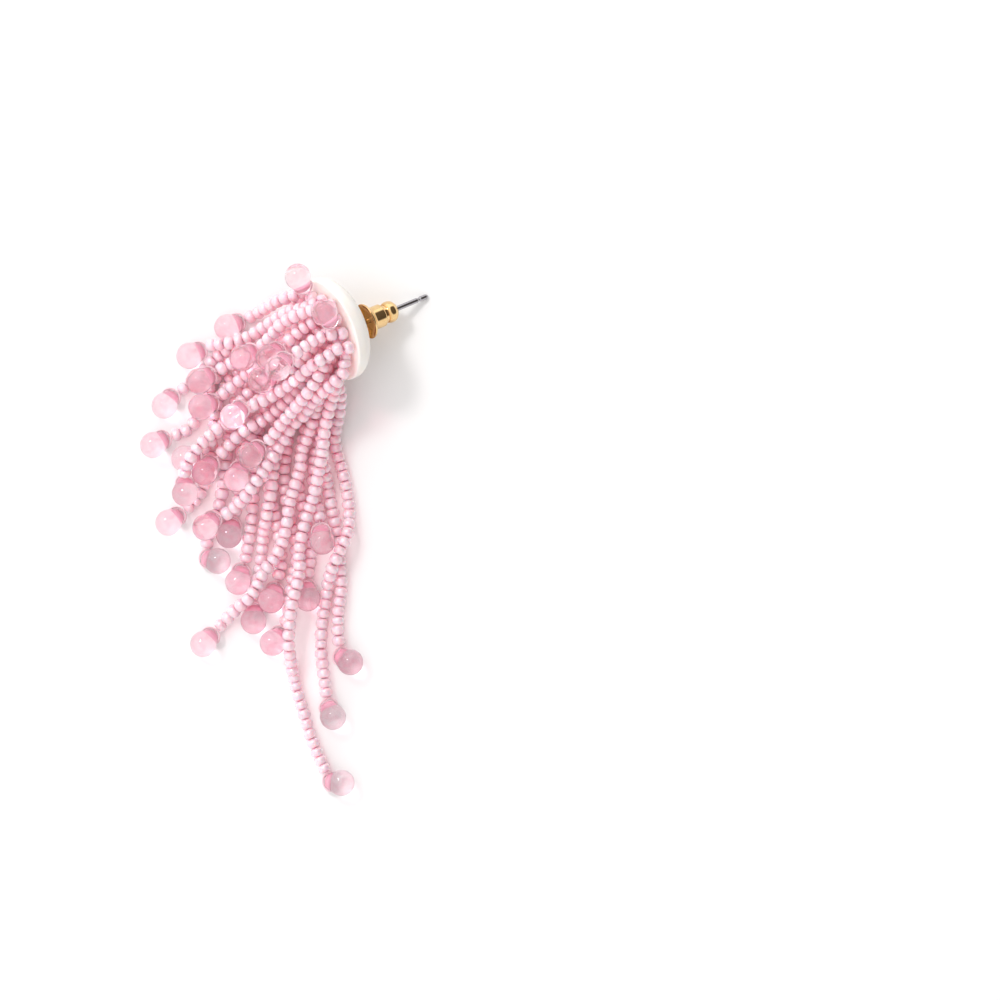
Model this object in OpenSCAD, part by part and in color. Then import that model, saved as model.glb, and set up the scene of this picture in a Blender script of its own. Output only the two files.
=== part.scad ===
// Tassel earring, lying on its side: a domed backing with an ear post and a clutch, and strings of
// seed beads sewn on its flat front in six rows, each string ending in a glass drop bead.
// Lengths are millimetres, +Z is up from the surface and +Y runs from the tassel's tip to its top.

/* [Backing] */
// Diameter of the domed backing
backing_d = 15.4; // [14.6:0.1:17]
// Height of the straight band at the backing's rim
band_h = 1; // [0.6:0.1:1.6]
// Height of the dome behind the band
dome_h = 3.2; // [2.4:0.1:4]
// Compass angle of the ear post in plan, from +X towards +Y
heading = 23; // [18:1:28]

/* [Ear post] */
// How far the post is glued beside the dome's middle
post_aside = 0.8; // [0:0.1:1.2]
// Diameter of the pad that is glued to the dome
pad_d = 5.4; // [4:0.1:6.4]
// Thickness of the pad
pad_t = 0.6; // [0.5:0.05:0.9]
// Diameter of the ear pin
post_d = 0.75; // [0.6:0.05:0.95]
// Length of the ear pin beyond the pad
post_l = 12.2; // [11:0.1:14]
// Distance of the ring notch from the pin's tip
notch_at = 1.6; // [1.2:0.1:2.4]
// Width of the ring notch
notch_w = 0.6; // [0.55:0.05:0.8]
// Depth of the ring notch
notch_deep = 0.14; // [0.08:0.01:0.2]

/* [Clutch] */
// Distance from the pad to the clutch's flange
clutch_at = 1.4; // [0.6:0.1:2.4]
// Diameter of the dished flange
flange_d = 5.3; // [4.6:0.1:6]
// Thickness of the flange's sheet
flange_t = 0.35; // [0.25:0.05:0.5]
// Depth of the flange's dish
dish_deep = 0.6; // [0.4:0.05:0.8]
// Diameter of the barrel
barrel_d = 3.4; // [3:0.1:3.8]
// Length of the barrel
barrel_l = 2.3; // [1.8:0.1:2.8]
// Diameter of the neck behind the barrel
clutch_neck_d = 2.6; // [2.2:0.1:2.8]
// Length of the neck
clutch_neck_l = 0.45; // [0.3:0.05:0.6]
// Diameter of the end bead
end_bead_d = 3.2; // [3:0.1:3.6]
// Length of the end bead
end_bead_l = 1.8; // [1.4:0.1:2.2]
// Radial clearance between the pin and the clutch's bore
clutch_clear = 0.05; // [0.02:0.01:0.09]

/* [Strings] */
// Diameter of a string of seed beads
bead_d = 1.85; // [1.6:0.05:1.95]
// Distance between two sewn rows, and between two strings of a row
sewn_pitch = 2.2; // [2.1:0.05:2.3]
// Gap between a string's first bead and the backing
sewn_gap = 0.2; // [0.1:0.05:0.3]
// Diameter of the thread
thread_d = 0.4; // [0.3:0.05:0.5]

/* [Drop beads] */
// Diameter of a drop bead's round end
drop_d = 3.8; // [3.4:0.1:3.9]
// Diameter of its drilled neck
drop_neck_d = 2.4; // [2:0.1:2.6]
// Distance from the drilled hole to the round end's centre
drop_reach = 1.6; // [1.4:0.05:1.8]
// Diameter of the drilled hole
drop_hole_d = 1; // [0.8:0.05:1.2]

/* [Hidden] */
$fn = 48;

backing_r = backing_d / 2;
post_r = post_d / 2;
bead_r = bead_d / 2;
drop_r = drop_d / 2;
drop_neck_r = drop_neck_d / 2;

// The pin's tip narrows by this much.
tip_r = post_r * 0.45;
tip_l = post_r * 0.9;

// The backing's rim and the pin's tip touch the surface, which sets the lean of their axis. The
// rim alone gives nearly that lean, and with it how far the leaning dome reaches below its foot.
tip_at = dome_h + pad_t / 2 + post_l;
rim_lean = atan((backing_r - post_r) / (tip_at - tip_l));
belly_r = sqrt(pow(backing_r, 2) + pow(dome_h * tan(rim_lean), 2));
lean = atan((belly_r - post_r) / (tip_at - tip_l));
// Middle of the dome's foot in plan
backing_at = [7.6, 29.2];
dome_foot = [backing_at[0], backing_at[1], belly_r * cos(lean)];

// The way of the post and the backing's axis, the backing's upward way and its level way
axis = [cos(lean) * cos(heading), cos(lean) * sin(heading), -sin(lean)];
rise = [sin(lean) * cos(heading), sin(lean) * sin(heading), cos(lean)];
level = [-sin(heading), cos(heading), 0];
front = dome_foot - band_h * axis;

dome_steps = 14;
seat_at = dome_h - pad_t / 2;
// The pad's glue, under the pad and round it
glue_t = 0.02;
glue_side = 0.1;
string_sides = 8;
ring_every = 2.6;
lead_l = 1.1;
thread_r = thread_d / 2;
thread_gap = 0.1;
// The thread bends round the drop's neck at this distance from the hole's middle, into the hole,
// and the last bead ends there.
bend_r = drop_neck_r + thread_gap + thread_r;
last_bead_l = 0.5;
last_bead_at = bend_r + last_bead_l;
last_end_r = bead_r / 2;
one_bead_reach = bead_r + thread_gap + drop_neck_r;
bend_steps = 3;
// Ring middles closer than this count as one, and a stretch above this slope counts as upright.
same_place = 0.01;
upright = 0.9;

// A drop that lies on the surface has its round end a little above its neck.
lie = asin((drop_r - drop_neck_r) / drop_reach);

// One line for each string: its sewn row from the backing's lower edge, its place along the row
// in half pitches, the angle by which its drop turns left of the string, and its route's points.
// The last point is the middle of the drop's hole. A string of one bead gives the way from the
// bead to that hole instead.
ROUTES = [
    [1, 3, 0, [[1, 28.9, 1.6], [-0.6, 26.9, 1], [-2.2, 24.9, 1], [-4.6, 23.9, 1], [-6.9, 22.6, 1],
        [-8.3, 20.9, 1], [-9.3, 19, 1], [-9.8, 17, 1], [-10.1, 14.6, 1], [-10.4, 12, 1],
        [-10.8, 9.6, 1], [-11.2, 7.4, 1], [-12, 5.4, 1], [-13.2, 3.8, 1], [-15.5, 2, 1.2]]],
    [1, 1, 70, [[1.9, 26.6, 1.4], [0.7, 24.9, 1], [-0.9, 23.2, 1], [-3.1, 22, 1], [-5.1, 21.1, 1],
        [-6.4, 19.7, 1], [-7.2, 17.8, 1], [-7.6, 15.6, 1], [-7.9, 13.3, 1], [-8.2, 11, 1],
        [-8.5, 8.5, 1], [-8.8, 6, 1], [-9.3, 3.6, 1], [-10.1, 1.4, 1], [-10.8, -0.5, 1],
        [-11.1, -2.3, 1], [-10.9, -4.1, 1.2]]],
    [1, -1, 0, [[2.7, 24.5, 1.3], [1.8, 22.5, 1], [0.5, 20.6, 1], [-1.1, 19, 1], [-2.4, 17.4, 1],
        [-3.3, 15.6, 1], [-3.7, 13.3, 1], [-3.9, 11, 1], [-4.1, 8.6, 1], [-4.3, 6, 1],
        [-4.4, 3.4, 1], [-4.7, 0.6, 1], [-5.1, -2.2, 1], [-5.5, -4.2, 1], [-6.1, -6.1, 1.2]]],
    [1, -3, -15, [[4.1, 22.9, 1.2], [3.8, 20.6, 1], [3, 18.4, 1], [1.8, 16.5, 1], [0.9, 14.6, 1],
        [0.5, 12.2, 1], [0.2, 9.8, 1], [0.1, 7.4, 1], [0.3, 5, 1], [0.8, 2.4, 1], [1.4, 0.1, 1],
        [1.8, -2.2, 1], [1.9, -4.8, 1], [1.3, -7.4, 1], [0.9, -10, 1], [0.6, -12.6, 1],
        [-0.6, -15.2, 1.2]]],

    [2, 5, 15, [[1, 31.7, 4], [-1.4, 30, 2.4], [-3.9, 28.5, 2.1], [-6.2, 27.2, 2.2],
        [-8.2, 26, 2.1], [-10, 24.8, 1.7], [-11.7, 23, 1.1], [-13.6, 21.2, 1], [-16.3, 19.2, 1.2]]],
    [2, 3, 10, [[1.2, 29.4, 4.7], [-0.9, 27.8, 3.2], [-3.2, 26.6, 1.8], [-5.5, 25.7, 1.1],
        [-7.6, 24.5, 1], [-9.2, 22.8, 1], [-10.6, 20.9, 1], [-11.6, 19.1, 1], [-12.3, 17.2, 1],
        [-13, 15.5, 1], [-14.2, 14.4, 1], [-15.7, 13.8, 1], [-17.6, 13.1, 1.2]]],
    [2, 1, 0, [[2.8, 27, 4.4], [1.6, 24.8, 3.6], [0.4, 22.9, 2.8], [-1.3, 20.9, 2.1],
        [-2.9, 19.7, 1.6], [-4.6, 18.4, 1], [-5.4, 16.5, 1], [-5.7, 14.3, 1], [-6, 12, 1],
        [-6.2, 9.5, 1], [-6.4, 7, 1], [-6.6, 4.5, 1], [-7, 2.6, 1], [-7.5, 0.7, 1.2]]],
    [2, -1, -10, [[3.7, 25, 4.6], [3, 22.5, 3.8], [2.5, 20.3, 2.9], [1, 18.2, 1.8],
        [-0.5, 16.6, 1.2], [-1.3, 14.6, 1], [-1.6, 12.2, 1], [-1.9, 9.8, 1], [-2.1, 7.4, 1],
        [-1.9, 5, 1], [-1.3, 2.4, 1], [-0.8, 0, 1], [-0.5, -2.4, 1], [-0.3, -4.6, 1],
        [-0.6, -6.2, 1], [-1.2, -8.8, 1.2]]],
    [2, -3, 10, [[4.9, 22.7, 4.1], [5.6, 20.6, 1.8], [5, 18.2, 1.1], [3.9, 16.2, 1], [3.1, 14.2, 1],
        [2.7, 12, 1], [2.4, 9.6, 1], [2.2, 7.2, 1], [2.4, 4.9, 1], [2.9, 2.6, 1], [3.5, 0.3, 1],
        [4, -2, 1], [3.9, -4.6, 1], [3.6, -6.2, 1], [3.4, -8.4, 1.2]]],
    [2, -5, 0, [[7.2, 20.6, 3.4], [7, 18.3, 1.8], [6.2, 16.3, 1.1], [5.3, 14.2, 1], [4.8, 12, 1],
        [4.5, 9.6, 1], [4.3, 7.2, 1], [4.6, 5, 1], [5.1, 3, 1.5], [5.3, 1.4, 2.6],
        [5.5, -0.2, 3.3]]],

    [3, 6, 0, [[1.6, 34, 6.6], [-0.2, 33.4, 5.2], [-1.8, 32.6, 3.6], [-3.4, 31.6, 2],
        [-5, 30.8, 1.2], [-6.8, 30, 1.2]]],
    [3, 4, 0, [[1.2, 29.6, 6.6], [-1.2, 27.8, 5.4], [-3.8, 26, 4.1], [-6.2, 24.8, 3.3],
        [-8.3, 23.8, 3.1], [-9.5, 23.1, 3.1], [-10.9, 22.3, 3.2]]],
    [3, 2, -15, [[2.6, 28, 6.6], [0.6, 25.8, 5.5], [-1.4, 23.6, 4.2], [-3.6, 21.4, 3.3],
        [-5.6, 19.2, 3], [-7.4, 17, 3], [-9, 14.8, 3], [-10.4, 13, 3], [-11.7, 11.8, 2.4],
        [-13, 10.9, 1.3]]],
    [3, 0, 0, [[3.8, 26.1, 6.8], [2.2, 23.7, 5.8], [0.4, 21.3, 4.5], [-1.4, 19, 3.4],
        [-3, 16.6, 3], [-4.3, 14.2, 3], [-5.2, 12, 3], [-5.8, 10.3, 3], [-6.3, 8.8, 3.2]]],
    [3, -2, 0, [[4.6, 23.8, 6.6], [3.8, 21.2, 5.4], [2.5, 18.7, 4.3], [1.1, 16.6, 3.3],
        [0, 14.2, 3], [-0.9, 11.6, 3], [-1.4, 9, 3], [-1.7, 6.2, 3], [-2.1, 3.8, 3],
        [-2.5, 1.4, 2.5], [-2.9, -0.8, 1.4], [-3.1, -2.8, 1], [-3.3, -4.8, 1],
        [-3.7, -7, 1], [-4.3, -9.2, 1], [-4.3, -11.7, 1.2]]],
    [3, -4, 45, [[6, 22.2, 6.8], [6, 19.8, 4.8], [5.8, 17.6, 3.4], [5.7, 15.6, 3],
        [5.6, 13.8, 3], [5.7, 11.2, 2.8], [6, 8.8, 2.3], [6.4, 6.6, 1.2], [6.8, 4.4, 1],
        [7.3, 2, 1], [7.8, -0.4, 1], [8.2, -2.8, 1], [8.3, -5.6, 1], [8.4, -8.6, 1],
        [8, -11.6, 1], [7.9, -14.2, 1], [8.1, -16.4, 1], [8.5, -18.3, 1.2]]],
    [3, -6, 15, [[8.3, 19.8, 5.2], [8.2, 17.4, 3.4], [7.7, 15, 2], [7.4, 13, 1.1], [7.8, 11.2, 1],
        [8.4, 9.2, 1], [9, 6.8, 1], [9.4, 4.4, 1], [9.6, 2, 1.2], [9.4, -0.2, 2.5],
        [8.7, -2, 3], [7.9, -3.6, 3], [7.3, -5, 2.9], [6.8, -6.4, 2.3], [6.4, -8, 1.5],
        [6.2, -9.8, 1], [5.8, -12.2, 1], [5.5, -15, 1], [5.5, -17.8, 1], [5.8, -20.4, 1],
        [6.2, -23.4, 1], [6.6, -25.7, 1.2]]],

    [4, 5, -5, [[-1.1, 1.7, 0.9]]],
    [4, 3, -15, [[2.8, 29.8, 8.8], [0.6, 27.8, 7.9], [-1.8, 25.6, 6.3], [-4, 23.6, 4.8],
        [-6.2, 21.8, 3.6], [-8, 20.3, 3.1], [-9, 19.5, 3.1], [-10.5, 18.4, 3.2]]],
    [4, 1, 0, [[4, 27.2, 9], [2.2, 24.8, 8.2], [0.2, 22.4, 6.9], [-2, 20.2, 5.8],
        [-4.2, 18.2, 5.1], [-6.4, 16.6, 5], [-8.3, 15.4, 5], [-9.8, 14.5, 5],
        [-10.9, 13.4, 5], [-12, 12.3, 5.2], [-12.9, 11.2, 5.3], [-13.7, 9.9, 5.2],
        [-14.2, 8.6, 4.5], [-14.2, 6.8, 2.6]]],
    [4, -1, 15, [[5, 25.3, 8.8], [3.6, 22.6, 8], [1.8, 20, 6.8], [-0.2, 18, 5.8],
        [-2.4, 16.2, 5.1], [-4.6, 15, 4.9], [-6.7, 13.5, 4.2], [-7.9, 12.2, 3.5], [-8.9, 11.2, 3.2],
        [-10.6, 9.6, 3.2]]],
    [4, -3, 0, [[6.1, 23, 9.2], [5.5, 20.2, 7.6], [4.9, 17.6, 5.2], [4.4, 16, 4.6],
        [3.9, 14.6, 3.8], [3.3, 13, 3.2], [2.6, 11.2, 3], [2.6, 9.4, 3], [1.8, 6.8, 3],
        [1, 4, 3], [0.5, 0.8, 3], [-0.2, -2, 3], [-1.4, -4.3, 3], [-2.7, -5.9, 3],
        [-3.8, -8.1, 3.4], [-5, -9.9, 3.3], [-6.6, -11.2, 2.3], [-7.9, -12.5, 1.3],
        [-10.6, -15.4, 1.2]]],
    [4, -5, 55, [[8.4, 22.4, 8.9], [7.7, 21.2, 8.7], [7.4, 19.6, 7.3], [6.8, 17.8, 6.3],
        [6.3, 15.8, 5.4], [5.9, 13.4, 5], [5.7, 11.2, 4.8], [5.2, 8.8, 4.3], [4.9, 7.2, 3.7],
        [4.3, 4.6, 3], [3.4, 1.8, 3], [2.7, -0.8, 3], [2.3, -3.4, 3], [2.4, -5.4, 3.1],
        [2, -7.9, 3.7], [1.3, -10.6, 3.9], [0.9, -14.1, 3.5], [0.8, -16.6, 3.5],
        [1.1, -18.8, 2.3], [1.5, -21.1, 1.1], [2.2, -24.1, 1], [3, -26.6, 1], [3.7, -29.1, 1],
        [4.5, -31.2, 1], [5.6, -33.8, 1], [7, -36.4, 1.2]]],

    [5, 4, 0, [[3.2, 32.1, 10], [1, 31.6, 8], [-1, 30.5, 6.4], [-3, 29.2, 5],
        [-5, 28, 4.2], [-7.2, 27.2, 4.1], [-9, 27, 3.6], [-10.6, 26.7, 2.4],
        [-12.3, 25.9, 1.4]]],
    [5, 2, 0, [[4.2, 29.9, 10.8], [3, 29.2, 10.7], [1.8, 28.2, 10.5], [-0.9, 25.9, 10.2]]],
    [5, 0, -10, [[5.2, 27.4, 11], [3.6, 25.6, 10.6], [2, 24, 9.8], [0.6, 23, 9.2],
        [-1.8, 22, 8.1]]],
    [5, -2, 0, [[6.5, 25.1, 11], [5.5, 22.8, 11], [4.3, 20.8, 10.6], [2.8, 18.8, 9.5],
        [1.1, 16.9, 7.9], [-0.5, 15, 6.9], [-1.9, 13.2, 6], [-3.7, 11.7, 5.4]]],
    [5, -4, 25, [[9.1, 23.3, 11], [7.8, 21.7, 10.8], [6.2, 20.3, 9.9], [4.9, 19.2, 9],
        [4, 18.1, 7.7], [3, 16.6, 6.2], [1.4, 15.2, 5.4], [0.2, 13.2, 5], [-1.1, 11.2, 5],
        [-2.5, 8.9, 5.2], [-4, 6.9, 5.4], [-5.1, 5.3, 4.9], [-6.4, 3.9, 3.8], [-8, 2.5, 3.1],
        [-10.3, 1.5, 3.2]]],

    [6, 3, 0, [[4.6, 31.9, 12.4], [2.8, 31.3, 11.6], [1.3, 30.7, 10.7], [0, 29.9, 9.9],
        [-1, 28.9, 9.2], [-2, 27.7, 8.4], [-3.2, 26.6, 7.3], [-4.6, 25.7, 6.5]]],
    [6, 1, -53, [[-0.5, 0, 2]]],
    [6, -1, 15, [[7.2, 28.3, 13.2], [5.9, 28, 13.3], [4.4, 27.3, 13.1], [3, 26.3, 13.2],
        [0.3, 24.5, 13.5]]],
    [6, -3, 25, [[8, 26.2, 13.1], [6.6, 25.2, 12.9], [5, 24.3, 12.7], [3.6, 23.2, 11.2],
        [2, 21.8, 10], [0.4, 20.6, 8.8], [-1.6, 19.4, 7.9], [-3.4, 18.5, 7.5],
        [-4.6, 18.1, 7.3], [-6.2, 17.5, 7.1]]],
];

rows = 6;
drops = len(ROUTES);
function numbered(stem, i) = str(stem, i < 9 ? "0" : "", i + 1);

function unit(v) = v / norm(v);

// Where a string leaves the backing's front, from its row and its place in half pitches
function sewn(route) = front + level * route[1] * sewn_pitch / 2
    + rise * (route[0] - (rows + 1) / 2) * sewn_pitch;

// The whole route: out of the front squarely, then through the chosen points
function lead_end(route) = sewn(route) - axis * (sewn_gap + lead_l);
function chosen(route) = let (points = route[3])
    len(points) > 1 ? points : [lead_end(route) + unit(points[0]) * one_bead_reach];
function way(route) = concat([sewn(route) - axis * sewn_gap, lead_end(route)], chosen(route));

// A smooth curve through the points: p1 to p2, with p0 and p3 as their neighbours
function smooth(p0, p1, p2, p3, t) = 0.5 * (2 * p1 + (p2 - p0) * t
    + (2 * p0 - 5 * p1 + 4 * p2 - p3) * t * t + (3 * p1 - p0 - 3 * p2 + p3) * t * t * t);

function between(p, i, t) = let (n = len(p) - 1)
    smooth(p[max(i - 1, 0)], p[i], p[i + 1], p[min(i + 2, n)], t);

// The curve's points, with a ring at least every ring_every
function rings(p) = [
    for (i = [0:len(p) - 2])
        let (steps = max(1, ceil(norm(p[i + 1] - p[i]) / ring_every)))
        for (s = [0:steps - 1]) between(p, i, s / steps)
];

function last_way(route) = let (p = way(route), n = len(p) - 1) unit(p[n] - p[n - 1]);
function hole_at(route) = let (points = chosen(route)) points[len(points) - 1];

// From the drop's hole to its round end, and along the level hole the way the thread goes in
function drop_way(route) = let (dir = last_way(route), a = atan2(dir[1], dir[0]) + route[2])
    [cos(lie) * cos(a), cos(lie) * sin(a), sin(lie)];
function hole_way(route) = let (side = unit(cross(drop_way(route), [0, 0, 1])))
    side * last_way(route) < 0 ? -side : side;

// The string's beads end short of the drop, and the thread goes round its neck into its hole.
// A drop that hangs close to the backing has no more than the first bead before it.
function bead_rings(route) = let (
    hole = hole_at(route),
    dir = last_way(route),
    into = hole_way(route),
    path = rings(way(route)),
    beads_end = last_bead_at + bead_r
) concat(
    [
        for (i = [0:len(path) - 1])
            if (i < 2 || norm(path[i] - hole) > beads_end) [path[i], bead_r]
    ],
    norm(path[1] - hole) > beads_end ? [[hole - dir * last_bead_at, bead_r]] : [],
    [[hole - dir * bend_r, last_end_r]],
    [
        for (i = [0:bend_steps])
            [hole - unit(dir * (bend_steps - i) + into * i) * bend_r, thread_r]
    ],
    [[hole + into * bend_r, thread_r]]
);

// A tube through the rings, each given as its middle and radius
module tube(ring_list) {
    n = len(ring_list);
    points = [
        for (i = [0:n - 1])
            let (
                here = ring_list[i][0],
                after = [for (j = [i:n - 1]) if (norm(ring_list[j][0] - here) > same_place) j],
                before = [for (j = [i:-1:0]) if (norm(ring_list[j][0] - here) > same_place) j],
                ahead = len(after) > 0 ? ring_list[after[0]][0] : here,
                behind = len(before) > 0 ? ring_list[before[0]][0] : here,
                along = unit(ahead - behind),
                side = unit(cross(along, abs(along[2]) > upright ? [1, 0, 0] : [0, 0, 1])),
                up = cross(side, along)
            )
            for (k = [0:string_sides - 1])
                let (turn = 360 * k / string_sides)
                    ring_list[i][0] + ring_list[i][1] * (side * cos(turn) + up * sin(turn))
    ];
    sides = [
        for (i = [0:n - 2], k = [0:string_sides - 1])
            let (next = (k + 1) % string_sides)
            [
                i * string_sides + k, i * string_sides + next,
                (i + 1) * string_sides + next, (i + 1) * string_sides + k
            ]
    ];
    start = [for (k = [string_sides - 1:-1:0]) k];
    end = [for (k = [0:string_sides - 1]) (n - 1) * string_sides + k];
    polyhedron(points = points, faces = concat([start], sides, [end]), convexity = 10);
}

// Places what is drawn round +Z on the backing's axis, with its origin at the dome's foot
module on_axis() {
    translate(dome_foot) rotate([0, 90 + lean, heading]) children();
}

// The same, on the post's own axis beside it
module on_post() {
    on_axis() translate([0, -post_aside, 0]) children();
}

module backing() {
    outline = concat(
        [[0, -band_h], [backing_r, -band_h]],
        [for (i = [0:dome_steps]) let (a = 90 * i / dome_steps) [backing_r * cos(a), dome_h * sin(a)]]
    );
    color("ivory") on_axis() difference() {
        rotate_extrude() polygon(outline);
        translate([0, -post_aside, seat_at]) cylinder(h = dome_h, r = pad_d / 2 + glue_side);
    }
}

module ear_post() {
    pad_from = seat_at + glue_t;
    pad_to = pad_from + pad_t;
    notch_mid = tip_at - notch_at;
    outline = [
        [0, pad_from], [pad_d / 2, pad_from], [pad_d / 2, pad_to], [post_r, pad_to],
        [post_r, notch_mid - notch_w / 2], [post_r - notch_deep, notch_mid],
        [post_r, notch_mid + notch_w / 2], [post_r, tip_at - tip_l], [tip_r, tip_at], [0, tip_at]
    ];
    color("silver") on_post() rotate_extrude() polygon(outline);
}

module clutch() {
    bore_r = post_r + clutch_clear;
    barrel_r = barrel_d / 2;
    barrel_end = dish_deep + barrel_l;
    bead_start = barrel_end + clutch_neck_l;
    clutch_l = bead_start + end_bead_l;
    bevel = (min(barrel_d, end_bead_d) - clutch_neck_d) / 3;
    end_bead_r = end_bead_d / 2;
    outline = [
        [bore_r, dish_deep], [barrel_r, dish_deep], [flange_d / 2, 0],
        [flange_d / 2, flange_t], [barrel_r, dish_deep + flange_t], [barrel_r, barrel_end - bevel],
        [barrel_r - bevel, barrel_end], [clutch_neck_d / 2, barrel_end],
        [clutch_neck_d / 2, bead_start], [end_bead_r - bevel, bead_start],
        [end_bead_r, bead_start + bevel], [end_bead_r, clutch_l - bevel],
        [end_bead_r - bevel, clutch_l], [bore_r, clutch_l]
    ];
    color("goldenrod") on_post() translate([0, 0, seat_at + pad_t + clutch_at])
        rotate_extrude() polygon(outline);
}

// All strings of one sewn row
module string_row(row) {
    color("pink") for (route = ROUTES) if (route[0] == row) tube(bead_rings(route));
}

// A drop bead, with its neck's middle at the end of the string's route
module drop(i) {
    bulb = drop_way(ROUTES[i]);
    across = hole_way(ROUTES[i]);
    third = cross(bulb, across);
    hole = hole_at(ROUTES[i]);
    cone_from = -drop_neck_r * sin(lie);
    cone_to = drop_reach - drop_r * sin(lie);
    frame = [
        [across[0], third[0], bulb[0], hole[0]],
        [across[1], third[1], bulb[1], hole[1]],
        [across[2], third[2], bulb[2], hole[2]],
        [0, 0, 0, 1]
    ];
    color("mistyrose", 0.6) multmatrix(frame) difference() {
        union() {
            sphere(r = drop_neck_r);
            translate([0, 0, drop_reach]) sphere(r = drop_r);
            translate([0, 0, cone_from]) cylinder(
                h = cone_to - cone_from, r1 = drop_neck_r * cos(lie), r2 = drop_r * cos(lie)
            );
        }
        rotate([0, 90, 0]) cylinder(h = 4 * drop_neck_r, r = drop_hole_d / 2, center = true);
    }
}

backing();
ear_post();
clutch();
for (r = [1:rows])
    string_row(r);
for (i = [0:drops - 1])
    drop(i);
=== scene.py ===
"""Looks for a tassel earring that lies on its side.

Strings of pearl glass seed beads leave the flat front of a cast backing and end in glass drops, and
the backing's ear post carries a gold clutch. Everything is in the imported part's own frame. Sizes
are millimetres until a mesh is made, and Blender's metres after that.
"""

import logging
import math
import random
from dataclasses import dataclass, field
from enum import Enum
from functools import cached_property
from typing import ClassVar, Sequence

import bpy
import numpy as np
from bpy.types import Mesh, Object
from mathutils import Matrix, Vector


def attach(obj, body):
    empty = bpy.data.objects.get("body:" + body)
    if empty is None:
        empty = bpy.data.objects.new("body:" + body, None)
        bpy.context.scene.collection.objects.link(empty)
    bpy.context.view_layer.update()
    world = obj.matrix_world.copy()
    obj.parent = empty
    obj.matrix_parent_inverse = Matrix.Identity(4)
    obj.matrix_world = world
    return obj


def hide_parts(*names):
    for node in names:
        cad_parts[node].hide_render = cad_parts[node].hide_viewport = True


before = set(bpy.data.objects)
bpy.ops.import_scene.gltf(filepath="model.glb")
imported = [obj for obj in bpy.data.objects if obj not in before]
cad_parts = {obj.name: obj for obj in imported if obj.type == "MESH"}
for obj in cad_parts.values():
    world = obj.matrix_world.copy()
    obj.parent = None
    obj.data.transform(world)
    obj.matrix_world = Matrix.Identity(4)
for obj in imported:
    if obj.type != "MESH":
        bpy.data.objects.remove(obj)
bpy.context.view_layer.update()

log = logging.getLogger("tassel_earring")

MM = 0.001
SHARP = math.radians(38)

# A point of an outline this near to the axis, in mm, is a pole.
ON_AXIS = 1e-6
# The most of an edge that the rounding of one of its corners takes.
MOST_OF_EDGE = 0.48
# A direction in which no string sets out.
OFF_STRING = (0.3, 0.5, 0.8)
# Two directions are opposite when their dot product is below this.
OPPOSITE = -0.99
# Turns a form's own axis into the way through a drop's hole.
ALONG_HOLE = Matrix.Rotation(math.pi / 2, 4, "Y")

# Short names of types.
Tree = bpy.types.NodeTree
Socket = bpy.types.NodeSocket
Inputs = dict[str | int, object]
Pair = tuple[float, float]
Triple = tuple[float, float, float]

# Sets a mix node to colours, whose sockets are 6 and 7 and whose output is 2.
COLOURS = {"data_type": "RGBA"}


# Nodes and colours


def add_node(
    tree: Tree, kind: str, settings: dict[str, object] | None = None, inputs: Inputs | None = None
) -> bpy.types.Node:
    """Adds one shader node with its settings and its links.

    Args:
        tree: The node tree that takes the node.
        kind: The node's type.
        settings: Values of the node's own properties.
        inputs: A value, or the socket to link from, for each named socket.

    Returns:
        The new node.
    """
    node = tree.nodes.new(kind)
    for name, value in (settings or {}).items():
        setattr(node, name, value)
    for name, value in (inputs or {}).items():
        socket = node.inputs[name]
        if isinstance(value, Socket):
            tree.links.new(value, socket)
        else:
            socket.default_value = value
    return node


def linear(hex_code: str) -> tuple[float, float, float, float]:
    """Turns an sRGB hex colour into linear RGBA.

    Args:
        hex_code: The colour as six hex digits after a hash.

    Returns:
        Red, green, blue and alpha from 0 to 1.
    """
    shares = [int(hex_code[i : i + 2], 16) / 255 for i in (1, 3, 5)]
    red, green, blue = (s / 12.92 if s <= 0.04045 else ((s + 0.055) / 1.055) ** 2.4 for s in shares)
    return red, green, blue, 1.0


def lamp_lit(tree: Tree, glass: Socket, colour: str) -> Socket:
    """Lets the lamps' light go straight through a glass, which keeps its shadow pale.

    Args:
        tree: The material's node tree.
        glass: The output of the glass's own shader.
        colour: What each skin of the glass lets through, as sRGB hex.

    Returns:
        The socket that goes to the surface.
    """
    straight = add_node(tree, "ShaderNodeBsdfTransparent", inputs={"Color": linear(colour)})
    shadow = add_node(tree, "ShaderNodeLightPath").outputs["Is Shadow Ray"]
    both = {0: shadow, 1: glass, 2: straight.outputs[0]}
    return add_node(tree, "ShaderNodeMixShader", inputs=both).outputs[0]


def unit(way: np.ndarray) -> np.ndarray:
    """Returns the same direction with a length of one."""
    return way / np.linalg.norm(way)


def per_metre(size_mm: float) -> float:
    """Returns the texture scale that makes one feature of a noise this many millimetres wide."""
    return 1 / (size_mm * MM)


# Finishes


@dataclass(frozen=True)
class Relief:
    """A fine relief: the width of its forms in mm, their detail, depth in mm, and strength."""

    wide_mm: float
    detail: float
    deep_mm: float
    strength: float


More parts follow.
